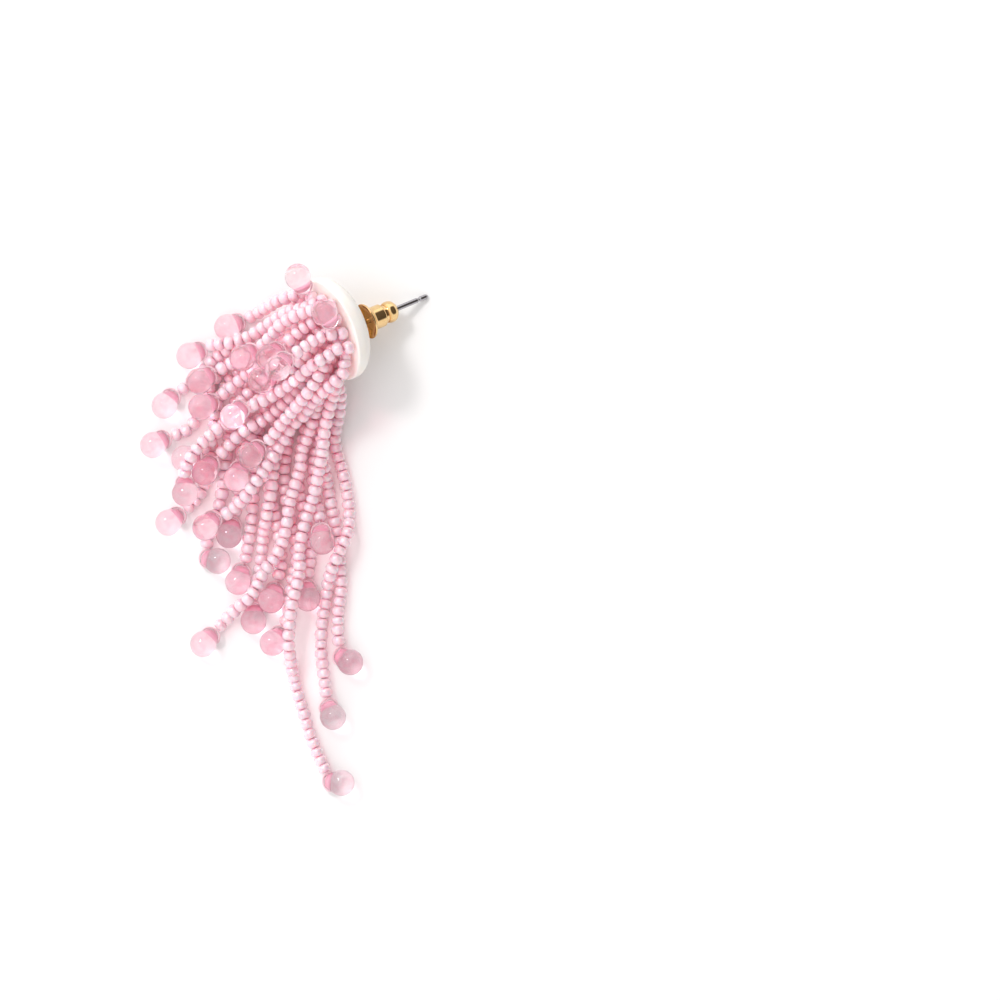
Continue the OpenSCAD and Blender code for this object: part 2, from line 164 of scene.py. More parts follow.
@dataclass(frozen=True)
class Finish:
    """A finish: its material's name, its colour, and the relief that its making leaves.

    The relief's own noise also turns the colour to the shade, and the roughness from its lower
    value to its higher, where a finish has them. `sockets` holds what is the same all over, by the
    shader's own names. `through` tints the lamps' light that goes straight through a glass.
    """

    title: str
    colour: str
    relief: Relief
    shade: str = ""
    rough: tuple[float, ...] = ()
    sockets: ClassVar[Inputs] = {}
    through: ClassVar[str] = ""

    def material(self) -> bpy.types.Material:
        """Makes the material the first time it is asked for.

        Returns:
            The one material of this finish.
        """
        made = bpy.data.materials.get(self.title)
        if made is None:
            made = bpy.data.materials.new(self.title)
            made.use_nodes = True
            tree = made.node_tree
            tree.nodes.clear()
            place = add_node(tree, "ShaderNodeTexCoord").outputs["Object"]
            skin = {**self.sockets, **self.skin(tree, place)}
            surface = add_node(tree, "ShaderNodeBsdfPrincipled", inputs=skin).outputs[0]
            if self.through:
                surface = lamp_lit(tree, surface, self.through)
            add_node(tree, "ShaderNodeOutputMaterial", inputs={"Surface": surface})
        return made

    def skin(self, tree: Tree, place: Socket) -> Inputs:
        """Makes the nodes of what changes over the surface.

        Args:
            tree: The material's node tree.
            place: The place on the piece, in metres.

        Returns:
            What goes to the shader's sockets, by their names.
        """
        relief = self.relief
        size = {"Vector": place, "Scale": per_metre(relief.wide_mm), "Detail": relief.detail}
        grain = add_node(tree, "ShaderNodeTexNoise", inputs=size).outputs["Fac"]
        depth = {"Strength": relief.strength, "Distance": relief.deep_mm * MM, "Height": grain}
        bump = add_node(tree, "ShaderNodeBump", inputs=depth).outputs[0]
        found = {"Base Color": linear(self.colour), "Normal": bump}
        if self.shade:
            tones = {0: grain, 6: linear(self.colour), 7: linear(self.shade)}
            found["Base Color"] = add_node(tree, "ShaderNodeMix", COLOURS, tones).outputs[2]
        if self.rough:
            span = {"Value": grain, "To Min": self.rough[0], "To Max": self.rough[1]}
            found["Roughness"] = add_node(tree, "ShaderNodeMapRange", inputs=span).outputs[0]
        return found


@dataclass(frozen=True)
class PearlSeedGlass(Finish):
    """Soda glass seed beads, tumbled round and glazed with a pearl lustre.

    The eye gets a milky pink body and a small sharp highlight on the lustre. Where the bead turns
    in to its hole, in the grooves between beads, a deeper pink is painted shade. No two beads are
    fired quite alike. The lustre is titanium oxide, whose high index gives the silvery shine. The
    glass is translucent, so its shadow is weak and pink.
    """

    title: str = "Pearl glazed soda glass, tumbled"
    colour: str = "#FFCCD6"
    relief: Relief = Relief(0.12, 1.0, 0.015, 0.2)
    pale: str = "#FFD7DF"
    # Painted shade: the deeper pink of the grooves between beads, where each bead turns in to its hole.
    groove_shade: str = "#FFB8C8"
    cloud_mm: float = 0.7
    cloud_detail: float = 2.0
    cloud_share: float = 0.5
    cloud_rough: Pair = (0.24, 0.38)
    groove_shade_power: float = 1.3
    sockets: ClassVar[Inputs] = {
        "IOR": 1.52,
        "Subsurface Weight": 1.0,
        "Subsurface Radius": (1.0, 0.4, 0.5),
        "Subsurface Scale": 1.1 * MM,
        "Coat Weight": 1.0,
        "Coat Roughness": 0.12,
        "Coat IOR": 1.8,
    }
    through: ClassVar[str] = "#FBE6EB"

    def skin(self, tree: Tree, place: Socket) -> Inputs:
        """Adds the glaze's clouds, each bead's own tone, and painted shade: deeper pink in the grooves.

        Args:
            tree: The material's node tree.
            place: The place on the piece, in metres.

        Returns:
            What goes to the shader's sockets, by their names.
        """
        tone = add_node(tree, "ShaderNodeAttribute", {"attribute_name": "tone"}).outputs["Fac"]
        turn = add_node(tree, "ShaderNodeAttribute", {"attribute_name": "turn_in"}).outputs["Fac"]
        size = {"Vector": place, "Scale": per_metre(self.cloud_mm), "Detail": self.cloud_detail}
        cloud = add_node(tree, "ShaderNodeTexNoise", inputs=size).outputs["Fac"]
        share = {0: cloud, 1: self.cloud_share, 2: tone}
        fired = add_node(tree, "ShaderNodeMath", {"operation": "MULTIPLY_ADD"}, share).outputs[0]
        tones = {0: fired, 6: linear(self.colour), 7: linear(self.pale)}
        glaze = add_node(tree, "ShaderNodeMix", COLOURS, tones).outputs[2]
        # Painted shade: the more a vertex turns in to its hole, into the groove between beads, the deeper
        # its pink.
        power = {0: turn, 1: self.groove_shade_power}
        edge = add_node(tree, "ShaderNodeMath", {"operation": "POWER"}, power).outputs[0]
        groove_shaded = {0: edge, 6: glaze, 7: linear(self.groove_shade)}
        span = {"Value": cloud, "To Min": self.cloud_rough[0], "To Max": self.cloud_rough[1]}
        return {
            **super().skin(tree, place),
            "Base Color": add_node(tree, "ShaderNodeMix", COLOURS, groove_shaded).outputs[2],
            "Roughness": add_node(tree, "ShaderNodeMapRange", inputs=span).outputs[0],
        }


@dataclass(frozen=True)
class BeadingNylon(Finish):
    """Nylon beading thread, twisted and waxed: a soft off-white line with a faint sheen."""

    title: str = "Beading nylon, twisted and waxed"
    colour: str = "#F4D9DF"
    relief: Relief = Relief(0.06, 2.0, 0.03, 0.5)
    shade: str = "#E9BFCA"
    sockets: ClassVar[Inputs] = {"Roughness": 0.5, "IOR": 1.53, "Sheen Weight": 0.2}


@dataclass(frozen=True)
class PressedDropGlass(Finish):
    """Pressed glass, fire polished, which leaves a wavy skin that bends what lies behind it.

    Pink streaks run through the glass, and it is pinkest at the edge, where the eye looks through
    most of it.
    """

    title: str = "Crystal glass, fire polished"
    colour: str = "#FFFCFD"
    relief: Relief = Relief(1.3, 1.0, 0.12, 0.5)
    rough: tuple[float, ...] = (0.02, 0.07)
    streak: str = "#FBE0E7"
    clear_share: float = 0.93
    edge: str = "#F5C9D6"
    edge_blend: float = 0.25
    streak_mm: float = 1.9
    streak_detail: float = 1.0
    streak_bend: float = 1.5
    streak_span: Pair = (0.4, 0.65)
    sockets: ClassVar[Inputs] = {
        "IOR": 1.51,
        "Subsurface Weight": 0.6,
        "Subsurface Radius": (1.0, 0.6, 0.65),
        "Subsurface Scale": 1.0 * MM,
    }
    through: ClassVar[str] = "#EEE6E9"

    def skin(self, tree: Tree, place: Socket) -> Inputs:
        """Adds the streaks, the pinker edge and the share of light that the glass lets in.

        Args:
            tree: The material's node tree.
            place: The place on the piece, in metres.

        Returns:
            What goes to the shader's sockets, by their names.
        """
        size = {"Scale": per_metre(self.streak_mm), "Detail": self.streak_detail}
        bent = {"Vector": place, **size, "Distortion": self.streak_bend}
        streaks = add_node(tree, "ShaderNodeTexNoise", inputs=bent).outputs["Fac"]
        span = {"Value": streaks, "From Min": self.streak_span[0], "From Max": self.streak_span[1]}
        streaked = add_node(tree, "ShaderNodeMapRange", inputs=span).outputs[0]
        tones = {0: streaked, 6: linear(self.colour), 7: linear(self.streak)}
        body = add_node(tree, "ShaderNodeMix", COLOURS, tones).outputs[2]
        blend = {"Blend": self.edge_blend}
        slant = add_node(tree, "ShaderNodeLayerWeight", inputs=blend).outputs["Facing"]
        edged = {0: slant, 6: body, 7: linear(self.edge)}
        return {
            **super().skin(tree, place),
            "Base Color": add_node(tree, "ShaderNodeMix", COLOURS, edged).outputs[2],
            "Transmission Weight": self.clear_share,
        }


class DropTint(Enum):
    """How pink a drop's glass is: its name, its colour, its streaks' and its share of clear glass."""

    CLEAR = ("Crystal glass, fire polished", "#FFFCFD", "#FBE0E7", 0.93)
    BLUSH = ("Blush glass, fire polished", "#FEF8FA", "#FBD8E1", 0.90)
    ROSE = ("Rose opal glass, fire polished", "#FEF0F4", "#F9CAD7", 0.87)

    def finish(self) -> PressedDropGlass:
        """Returns the finish of a drop of this tint."""
        title, colour, streak, share = self.value
        return PressedDropGlass(title=title, colour=colour, streak=streak, clear_share=share)


@dataclass(frozen=True)
class PinkLining(Finish):
    """Pink enamel drawn into the drop's hole and fired, uneven where it ran."""

    title: str = "Pink enamel, fired"
    colour: str = "#F79FBD"
    relief: Relief = Relief(0.8, 2.0, 0.04, 0.4)
    shade: str = "#FCC9D9"
    sockets: ClassVar[Inputs] = {"Roughness": 0.4, "IOR": 1.5}


@dataclass(frozen=True)
class CastResin(Finish):
    """Warm white casting resin, cast and buffed: satin, a little translucent, with fine scuffs."""

    title: str = "Ivory casting resin, buffed"
    colour: str = "#FDF8F2"
    relief: Relief = Relief(0.25, 3.0, 0.03, 0.4)
    rough: tuple[float, ...] = (0.3, 0.5)
    mottle: str = "#FAF1EA"
    mottle_mm: float = 2.5
    mottle_detail: float = 4.0
    sockets: ClassVar[Inputs] = {
        "IOR": 1.5,
        "Subsurface Weight": 0.3,
        "Subsurface Radius": (1.0, 0.8, 0.6),
        "Subsurface Scale": 1.2 * MM,
    }

    def skin(self, tree: Tree, place: Socket) -> Inputs:
        """Adds the faint mottling of the cast.

        Args:
            tree: The material's node tree.
            place: The place on the piece, in metres.

        Returns:
            What goes to the shader's sockets, by their names.
        """
        size = {"Vector": place, "Scale": per_metre(self.mottle_mm), "Detail": self.mottle_detail}
        mottle = add_node(tree, "ShaderNodeTexNoise", inputs=size).outputs["Fac"]
        tones = {0: mottle, 6: linear(self.colour), 7: linear(self.mottle)}
        colour = add_node(tree, "ShaderNodeMix", COLOURS, tones).outputs[2]
        return {**super().skin(tree, place), "Base Color": colour}


@dataclass(frozen=True)
class DrawnSteel(Finish):
    """Surgical steel wire, drawn and polished: a bright mirror with fine lines along the pin."""

    title: str = "Surgical steel wire, drawn"
    colour: str = "#ABA8AC"
    relief: Relief = Relief(0.05, 2.0, 0.01, 0.3)
    rough: tuple[float, ...] = (0.1, 0.2)
    stretch: float = 0.04
    sockets: ClassVar[Inputs] = {"Metallic": 1.0}

    def skin(self, tree: Tree, place: Socket) -> Inputs:
        """Draws the lines out along the pin.

        Args:
            tree: The material's node tree.
            place: The place on the piece, in metres.

        Returns:
            What goes to the shader's sockets, by their names.
        """
        drawn = {"Vector": place, "Scale": (1.0, 1.0, self.stretch)}
        along = add_node(tree, "ShaderNodeMapping", inputs=drawn).outputs[0]
        return super().skin(tree, along)


@dataclass(frozen=True)
class GoldPlate(Finish):
    """Gold plate on turned brass, barrel polished.

    The eye gets a bright yellow mirror with faint turning rings and a few duller, redder places
    where the plate has worn. The faces that look back into the dish are painted amber, a painted
    reflection of the gold that the dish mirrors in itself.
    """

    title: str = "Gold plate, barrel polished"
    colour: str = "#F3D8A2"
    # Turning rings are about 0.05 mm apart, and are drawn three times as coarse to show.
    relief: Relief = Relief(0.16, 1.0, 0.01, 0.12)
    ring_bend: float = 1.0
    worn: str = "#E5B77E"
    worn_rough: Pair = (0.05, 0.14)
    wear_mm: float = 1.1
    wear_detail: float = 5.0
    # Painted reflection: the amber of the dish, where the gold mirrors itself.
    dish_reflection_tint: str = "#D89440"
    dish_facing: Pair = (-0.3, -0.8)
    sockets: ClassVar[Inputs] = {"Metallic": 1.0}

    def skin(self, tree: Tree, place: Socket) -> Inputs:
        """Makes the wear, the painted reflection that turns the dish amber, and the turning rings.

        Args:
            tree: The material's node tree.
            place: The place on the piece, in metres.

        Returns:
            What goes to the shader's sockets, by their names.
        """
        size = {"Vector": place, "Scale": per_metre(self.wear_mm), "Detail": self.wear_detail}
        wear = add_node(tree, "ShaderNodeTexNoise", inputs=size).outputs["Fac"]
        tones = {0: wear, 6: linear(self.colour), 7: linear(self.worn)}
        polished = add_node(tree, "ShaderNodeMix", COLOURS, tones).outputs[2]
        # Painted reflection: faces that look back into the dish turn amber, for the gold that the dish
        # reflects.
        normal = {"Vector": add_node(tree, "ShaderNodeTexCoord").outputs["Normal"]}
        facing = add_node(tree, "ShaderNodeSeparateXYZ", inputs=normal).outputs["Z"]
        reach = {"Value": facing, "From Min": self.dish_facing[0], "From Max": self.dish_facing[1]}
        in_dish = add_node(tree, "ShaderNodeMapRange", inputs=reach).outputs[0]
        dish_reflected = {0: in_dish, 6: polished, 7: linear(self.dish_reflection_tint)}
        span = {"Value": wear, "To Min": self.worn_rough[0], "To Max": self.worn_rough[1]}
        rings = {
            "Vector": place,
            "Scale": per_metre(self.relief.wide_mm) / (2 * math.pi),
            "Distortion": self.ring_bend,
            "Detail": self.relief.detail,
        }
        ring = add_node(tree, "ShaderNodeTexWave", {"bands_direction": "Z"}, rings).outputs["Fac"]
        depth = {"Distance": self.relief.deep_mm * MM, "Height": ring}
        turned_in = {"Strength": self.relief.strength, **depth}
        return {
            "Base Color": add_node(tree, "ShaderNodeMix", COLOURS, dish_reflected).outputs[2],
            "Roughness": add_node(tree, "ShaderNodeMapRange", inputs=span).outputs[0],
            "Normal": add_node(tree, "ShaderNodeBump", inputs=turned_in).outputs[0],
        }


@dataclass(frozen=True)
class StudioPaper(Finish):
    """Bright white matt paper: the faintest tooth, and soft shadows that stay clean."""

    title: str = "White matt paper"
    colour: str = "#FBFAFA"
    relief: Relief = Relief(0.6, 3.0, 0.02, 0.1)
    sockets: ClassVar[Inputs] = {"Roughness": 0.9, "Specular IOR Level": 0.2}


# Meshes


def placed(name: str, data: bpy.types.ID, place: Matrix | None = None) -> Object:
    """Makes an object and links it to the scene.

    Args:
        name: The object's name.
        data: Its mesh, lamp or camera.
        place: Where its origin and axes lie, in metres, if not in the world's own.

    Returns:
        The new object.
    """
    made = bpy.data.objects.new(name, data)
    bpy.context.scene.collection.objects.link(made)
    if place is not None:
        made.matrix_world = place
    return made


@dataclass(frozen=True)
class Dressing:
    """What a piece rides on, stands for and is finished with."""

    body: str
    replaces: tuple[str, ...]
    slot: str
    finish: Finish

    def put_on(self, piece: Object) -> Object:
        """Finishes a piece and ties it to its body.

        Args:
            piece: The mesh object, in its place.

        Returns:
            The same object.
        """
        if not piece.data.materials:
            piece.data.materials.append(self.finish.material())
        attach(piece, self.body)
        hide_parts(*self.replaces)
        return piece


@dataclass
class MeshParts:
    """Vertices and faces that are gathered for one mesh, with values for each vertex."""

    points: list[np.ndarray] = field(default_factory=list)
    faces: list[np.ndarray] = field(default_factory=list)
    values: dict[str, list[np.ndarray]] = field(default_factory=dict)
    count: int = 0

    def add(self, points: np.ndarray, faces: np.ndarray, **values: np.ndarray) -> None:
        """Adds one form.

        Args:
            points: Its vertices, in millimetres.
            faces: Its four-sided faces, as numbers of its own vertices.
            values: One number for each vertex, by attribute name.
        """
        self.points.append(points)
        self.faces.append(faces + self.count)
        self.count += len(points)
        for name, value in values.items():
            self.values.setdefault(name, []).append(value)

    def build(self, name: str) -> Object:
        """Makes the mesh object, smooth, in metres, and links it to the scene.

        Args:
            name: The object's name.

        Returns:
            The new object.
        """
        mesh = bpy.data.meshes.new(name)
        points = np.concatenate(self.points) * MM
        mesh.from_pydata(points.tolist(), [], np.concatenate(self.faces).tolist())
        for attribute, value in self.values.items():
            layer = mesh.attributes.new(attribute, "FLOAT", "POINT")
            layer.data.foreach_set("value", np.concatenate(value).astype(np.float32))
        mesh.shade_smooth()
        return placed(name, mesh)


@dataclass(frozen=True)
class Corner:
    """A corner of a turned outline: how far out, how far along the axis, and its rounding."""

    out: float
    along: float
    rounding: float = 0.0


def rounded(corners: Sequence[Corner], steps: int = 6) -> list[Pair]:
    """Rounds an open outline's corners.

    Args:
        corners: The outline's corners in order.
        steps: Edges in each rounding.

    Returns:
        Points as pairs of out and along.
    """
    line: list[Pair] = []
    for i, corner in enumerate(corners):
        here = Vector((corner.out, corner.along))
        if corner.rounding == 0 or i in (0, len(corners) - 1):
            line.append((here.x, here.y))
            continue
        before = Vector((corners[i - 1].out, corners[i - 1].along)) - here
        after = Vector((corners[i + 1].out, corners[i + 1].along)) - here
        reach = min(corner.rounding, MOST_OF_EDGE * before.length, MOST_OF_EDGE * after.length)
        start = here + before.normalized() * reach
        end = here + after.normalized() * reach
        for s in range(steps + 1):
            t = s / steps
            point = start * (1 - t) ** 2 + here * (2 * t * (1 - t)) + end * t**2
            line.append((point.x, point.y))
    return line


def turned(
    name: str, outline: Sequence[Pair], place: Matrix, closed: bool, turns: int = 96
) -> Object:
    """Turns an outline round the local Z axis.

    Args:
        name: The object's name.
        outline: Pairs of out and along, in millimetres.
        place: Where the local origin and axes lie, in metres.
        closed: Whether the outline's end joins its start, as round a bore.
        turns: Steps in a full turn.

    Returns:
        The new object, smooth but for its sharp edges.
    """
    points: list[Triple] = []
    rings: list[list[int]] = []
    for out, along in outline:
        if out < ON_AXIS:
            rings.append([len(points)] * turns)
            points.append((0.0, 0.0, along * MM))
            continue
        rings.append(list(range(len(points), len(points) + turns)))
        for k in range(turns):
            angle = 2 * math.pi * k / turns
            points.append((out * math.cos(angle) * MM, out * math.sin(angle) * MM, along * MM))
    faces: list[tuple[int, ...]] = []
    for i in range(len(rings) if closed else len(rings) - 1):
        low, high = rings[i], rings[(i + 1) % len(rings)]
        for k in range(turns):
            after = (k + 1) % turns
            loop = dict.fromkeys((low[k], low[after], high[after], high[k]))
            if len(loop) > 2:
                faces.append(tuple(loop))
    mesh = bpy.data.meshes.new(name)
    mesh.from_pydata(points, [], faces)
    mesh.shade_smooth()
    mesh.set_sharp_from_angle(angle=SHARP)
    made = placed(name, mesh, place)
    made.modifiers.new("Flat faces stay flat", "WEIGHTED_NORMAL").keep_sharp = True
    return made


def cut_out(body: Object, tool: Object) -> Mesh:
    """Cuts one turned form out of another, and takes both objects away.

    Args:
        body: The form that is cut.
        tool: The form that is taken out of it.

    Returns:
        The mesh that is left, in the body's own axes, smooth but for its sharp edges.
    """
    cut = body.modifiers.new("Cut", "BOOLEAN")
    cut.object = tool
    cut.solver = "EXACT"
    # The cut comes before the modifier that weighs the normals.
    body.modifiers.move(1, 0)
    bpy.context.view_layer.update()
    seen = body.evaluated_get(bpy.context.evaluated_depsgraph_get())
    left = bpy.data.meshes.new_from_object(seen)
    left.shade_smooth()
    left.set_sharp_from_angle(angle=SHARP)
    left.materials.clear()
    bpy.data.objects.remove(body)
    bpy.data.objects.remove(tool)
    return left


def tube(line: np.ndarray, radius: float, sides: int = 8) -> tuple[np.ndarray, np.ndarray]:
    """Sweeps a round tube along a line.

    Args:
        line: The line's points, in millimetres.
        radius: The tube's radius.
        sides: Faces round the tube.

    Returns:
        The tube's vertices and its four-sided faces.
    """
    ways = np.gradient(line, axis=0)
    ways /= np.linalg.norm(ways, axis=1)[:, None]
    side = np.cross(ways[0], OFF_STRING)
    rings = []
    angles = np.arange(sides) * 2 * math.pi / sides
    for point, way in zip(line, ways):
        side = unit(side - way * (side @ way))
        up = np.cross(way, side)
        rings.append(point + radius * (np.outer(np.cos(angles), side) + np.outer(np.sin(angles), up)))
    count = len(line)
    k = np.arange(sides)
    after = (k + 1) % sides
    faces = [
        np.stack([i * sides + k, i * sides + after, (i + 1) * sides + after, (i + 1) * sides + k], 1)
        for i in range(count - 1)
    ]
    return np.concatenate(rings), np.concatenate(faces)


# How the earring lies


@dataclass(frozen=True)
class Lie:
    """How the backing leans on the surface: its rim and the pin's tip touch it."""

    heading: float = 23.0
    backing_r: float = 7.7
    band_h: float = 1.0
    dome_h: float = 3.2
    pad_t: float = 0.6
    post_r: float = 0.375
    post_l: float = 12.2
    post_aside: float = 0.8
    taper_radii: float = 0.9
    backing_at: Pair = (7.6, 29.2)

    @cached_property
    def tip_at(self) -> float:
        """The pin's tip, along the axis from the dome's foot."""
        return self.dome_h + self.pad_t / 2 + self.post_l

    @cached_property
    def tip_l(self) -> float:
        """The length over which the pin's tip narrows."""
        return self.post_r * self.taper_radii

    @cached_property
    def belly_r(self) -> float:
        """How far the leaning dome reaches below its foot's middle, across the axis."""
        rim_lean = math.atan((self.backing_r - self.post_r) / (self.tip_at - self.tip_l))
        return math.hypot(self.backing_r, self.dome_h * math.tan(rim_lean))

    @cached_property
    def lean(self) -> float:
        """The axis's slope down to the surface, in radians."""
        return math.atan((self.belly_r - self.post_r) / (self.tip_at - self.tip_l))

    @cached_property
    def foot(self) -> np.ndarray:
        """The middle of the dome's foot."""
        return np.array([*self.backing_at, self.belly_r * math.cos(self.lean)])

    @cached_property
    def turn(self) -> np.ndarray:
        """The rotation whose Z column is the post's axis."""
        upright = Matrix.Rotation(math.pi / 2 + self.lean, 3, "Y")
        return np.array(Matrix.Rotation(math.radians(self.heading), 3, "Z") @ upright)

    @cached_property
    def axis(self) -> np.ndarray:
        """The post's axis, from the backing to the pin's tip."""
        return self.turn[:, 2]

    @cached_property
    def level(self) -> np.ndarray:
        """The backing's level direction, along a sewn row."""
        heading = math.radians(self.heading)
        return np.array([-math.sin(heading), math.cos(heading), 0.0])

    @cached_property
    def rise(self) -> np.ndarray:
        """The backing's upward direction, from sewn row to sewn row."""
        return np.cross(self.axis, self.level)

    @cached_property
    def front(self) -> np.ndarray:
        """The middle of the flat front."""
        return self.foot - self.band_h * self.axis

    def place(self) -> Matrix:
        """Returns the dome's foot and the axis as a matrix, in metres."""
        return Matrix.Translation(Vector(self.foot * MM)) @ Matrix(self.turn.tolist()).to_4x4()

    def post_place(self) -> Matrix:
        """Returns the same for the post, which is glued beside the dome's middle."""
        return self.place() @ Matrix.Translation((0.0, -self.post_aside * MM, 0.0))


# Strings and drops


@dataclass(frozen=True)
class Route:
    """One string: its sewn row, its place in it, its drop's turn and tint, and its points.

    The last point is the middle of the drop's hole. A string of one bead gives the way from the
    bead to that hole instead.
    """

    row: int
    place: int
    drop_turn: float
    tint: DropTint
    points: tuple[Triple, ...]


@dataclass(frozen=True)
class DropShape:
    """A drop's outline: a round neck and a bigger round end, with a straight flank between."""

    neck_r: float = 1.2
    end_r: float = 1.9
    reach: float = 1.6

    @property
    def flank(self) -> float:
        """The flank's slope away from the drop's axis, in radians."""
        return math.asin((self.end_r - self.neck_r) / self.reach)


@dataclass(frozen=True)
class StringPath:
    """The smooth line of one string, from the backing's front to the drop that ends it."""

    route: Route
    lie: Lie
    sewn_pitch: float = 2.2
    sewn_gap: float = 0.2
    lead_l: float = 1.1
    rows: int = 6
    bend_r: float = 1.5
    drop: DropShape = DropShape()
    one_bead_reach: float = 2.225
    fine: int = 14
    way_step: float = 0.2
    thread_step: float = 0.8
    thread_tail: float = 0.4
    loop_inset: float = 0.1
    loop_steps: int = 6

    @cached_property
    def stations(self) -> np.ndarray:
        """The stations of the string's line.

        Returns:
            Two points that leave the front squarely, and then the route's own.
        """
        lie, route = self.lie, self.route
        sewn = (
            lie.front
            + lie.level * route.place * self.sewn_pitch / 2
            + lie.rise * (route.row - (self.rows + 1) / 2) * self.sewn_pitch
        )
        lead_end = sewn - lie.axis * (self.sewn_gap + self.lead_l)
        chosen = np.array(route.points, float)
        if len(chosen) == 1:
            chosen = lead_end + unit(chosen) * self.one_bead_reach
        return np.array([sewn - lie.axis * self.sewn_gap, lead_end, *chosen])

    @cached_property
    def line(self) -> np.ndarray:
        """The smooth curve through the stations.

        Returns:
            Its points, close together.
        """
        p = self.stations
        last = len(p) - 1
        found = []
        for i in range(last):
            a, b, c, d = p[max(i - 1, 0)], p[i], p[i + 1], p[min(i + 2, last)]
            for t in np.arange(self.fine) / self.fine:
                straight = 2 * b + (c - a) * t
                curved = (2 * a - 5 * b + 4 * c - d) * t**2 + (3 * b - a - 3 * c + d) * t**3
                found.append(0.5 * (straight + curved))
        return np.array([*found, p[-1]])

    @cached_property
    def lengths(self) -> np.ndarray:
        """The length of the line up to each of its points."""
        return np.concatenate([[0], np.cumsum(np.linalg.norm(np.diff(self.line, axis=0), axis=1))])

    def at(self, length: float) -> np.ndarray:
        """Returns the point at this length along the line."""
        return np.array([np.interp(length, self.lengths, self.line[:, k]) for k in range(3)])

    def way(self, length: float) -> np.ndarray:
        """Returns the line's direction this far along it."""
        return unit(self.at(length + self.way_step) - self.at(length - self.way_step))

    @cached_property
    def hole(self) -> np.ndarray:
        """The middle of the drop's hole, where the line ends."""
        return self.stations[-1]

    @cached_property
    def last_way(self) -> np.ndarray:
        """The direction in which the string comes to its drop."""
        return unit(self.stations[-1] - self.stations[-2])

    @cached_property
    def beads_end(self) -> float:
        """The length along the line at which the last bead ends, short of the drop's neck."""
        clear = np.linalg.norm(self.line - self.hole, axis=1) > self.bend_r
        return float(self.lengths[np.nonzero(clear)[0][-1]])

    @cached_property
    def drop_way(self) -> np.ndarray:
        """The way the drop points.

        Returns:
            The direction from the drop's hole to its round end.
        """
        angle = math.atan2(self.last_way[1], self.last_way[0]) + math.radians(self.route.drop_turn)
        flat = math.cos(self.drop.flank)
        rise = math.sin(self.drop.flank)
        return np.array([flat * math.cos(angle), flat * math.sin(angle), rise])

    @cached_property
    def hole_way(self) -> np.ndarray:
        """The way through the drop's hole.

        Returns:
            The level direction in which the thread goes in.
        """
        side = unit(np.cross(self.drop_way, (0, 0, 1)))
        return -side if side @ self.last_way < 0 else side

    def drop_place(self) -> Matrix:
        """Places the drop, with X along its hole and Z to its round end.

        Returns:
            The matrix of the hole's middle, in metres.
        """
        third = np.cross(self.drop_way, self.hole_way)
        turn = Matrix(np.stack([self.hole_way, third, self.drop_way], 1).tolist())
        return Matrix.Translation(Vector(self.hole * MM)) @ turn.to_4x4()

    def thread_line(self) -> np.ndarray:
        """Leads the thread down the beads, through the drop's hole and back round its neck.

        Returns:
            The thread's points.
        """
        beads = [self.at(s) for s in np.arange(0.0, self.beads_end, self.thread_step)]
        corners = [-self.last_way, -self.hole_way, self.hole_way, -self.drop_way, -self.last_way]
        loop = []
        for start, end in zip(corners, corners[1:]):
            straight_through = float(start @ end) < OPPOSITE
            for t in np.arange(self.loop_steps) / self.loop_steps:
                mixed = start * (1 - t) + end * t
                mixed = mixed if straight_through else unit(mixed)
                loop.append(self.hole + mixed * (self.bend_r - self.loop_inset))
        back = self.at(self.beads_end - self.thread_tail)
        return np.array([*beads, *loop, back])


CLEAR, BLUSH, ROSE = DropTint.CLEAR, DropTint.BLUSH, DropTint.ROSE

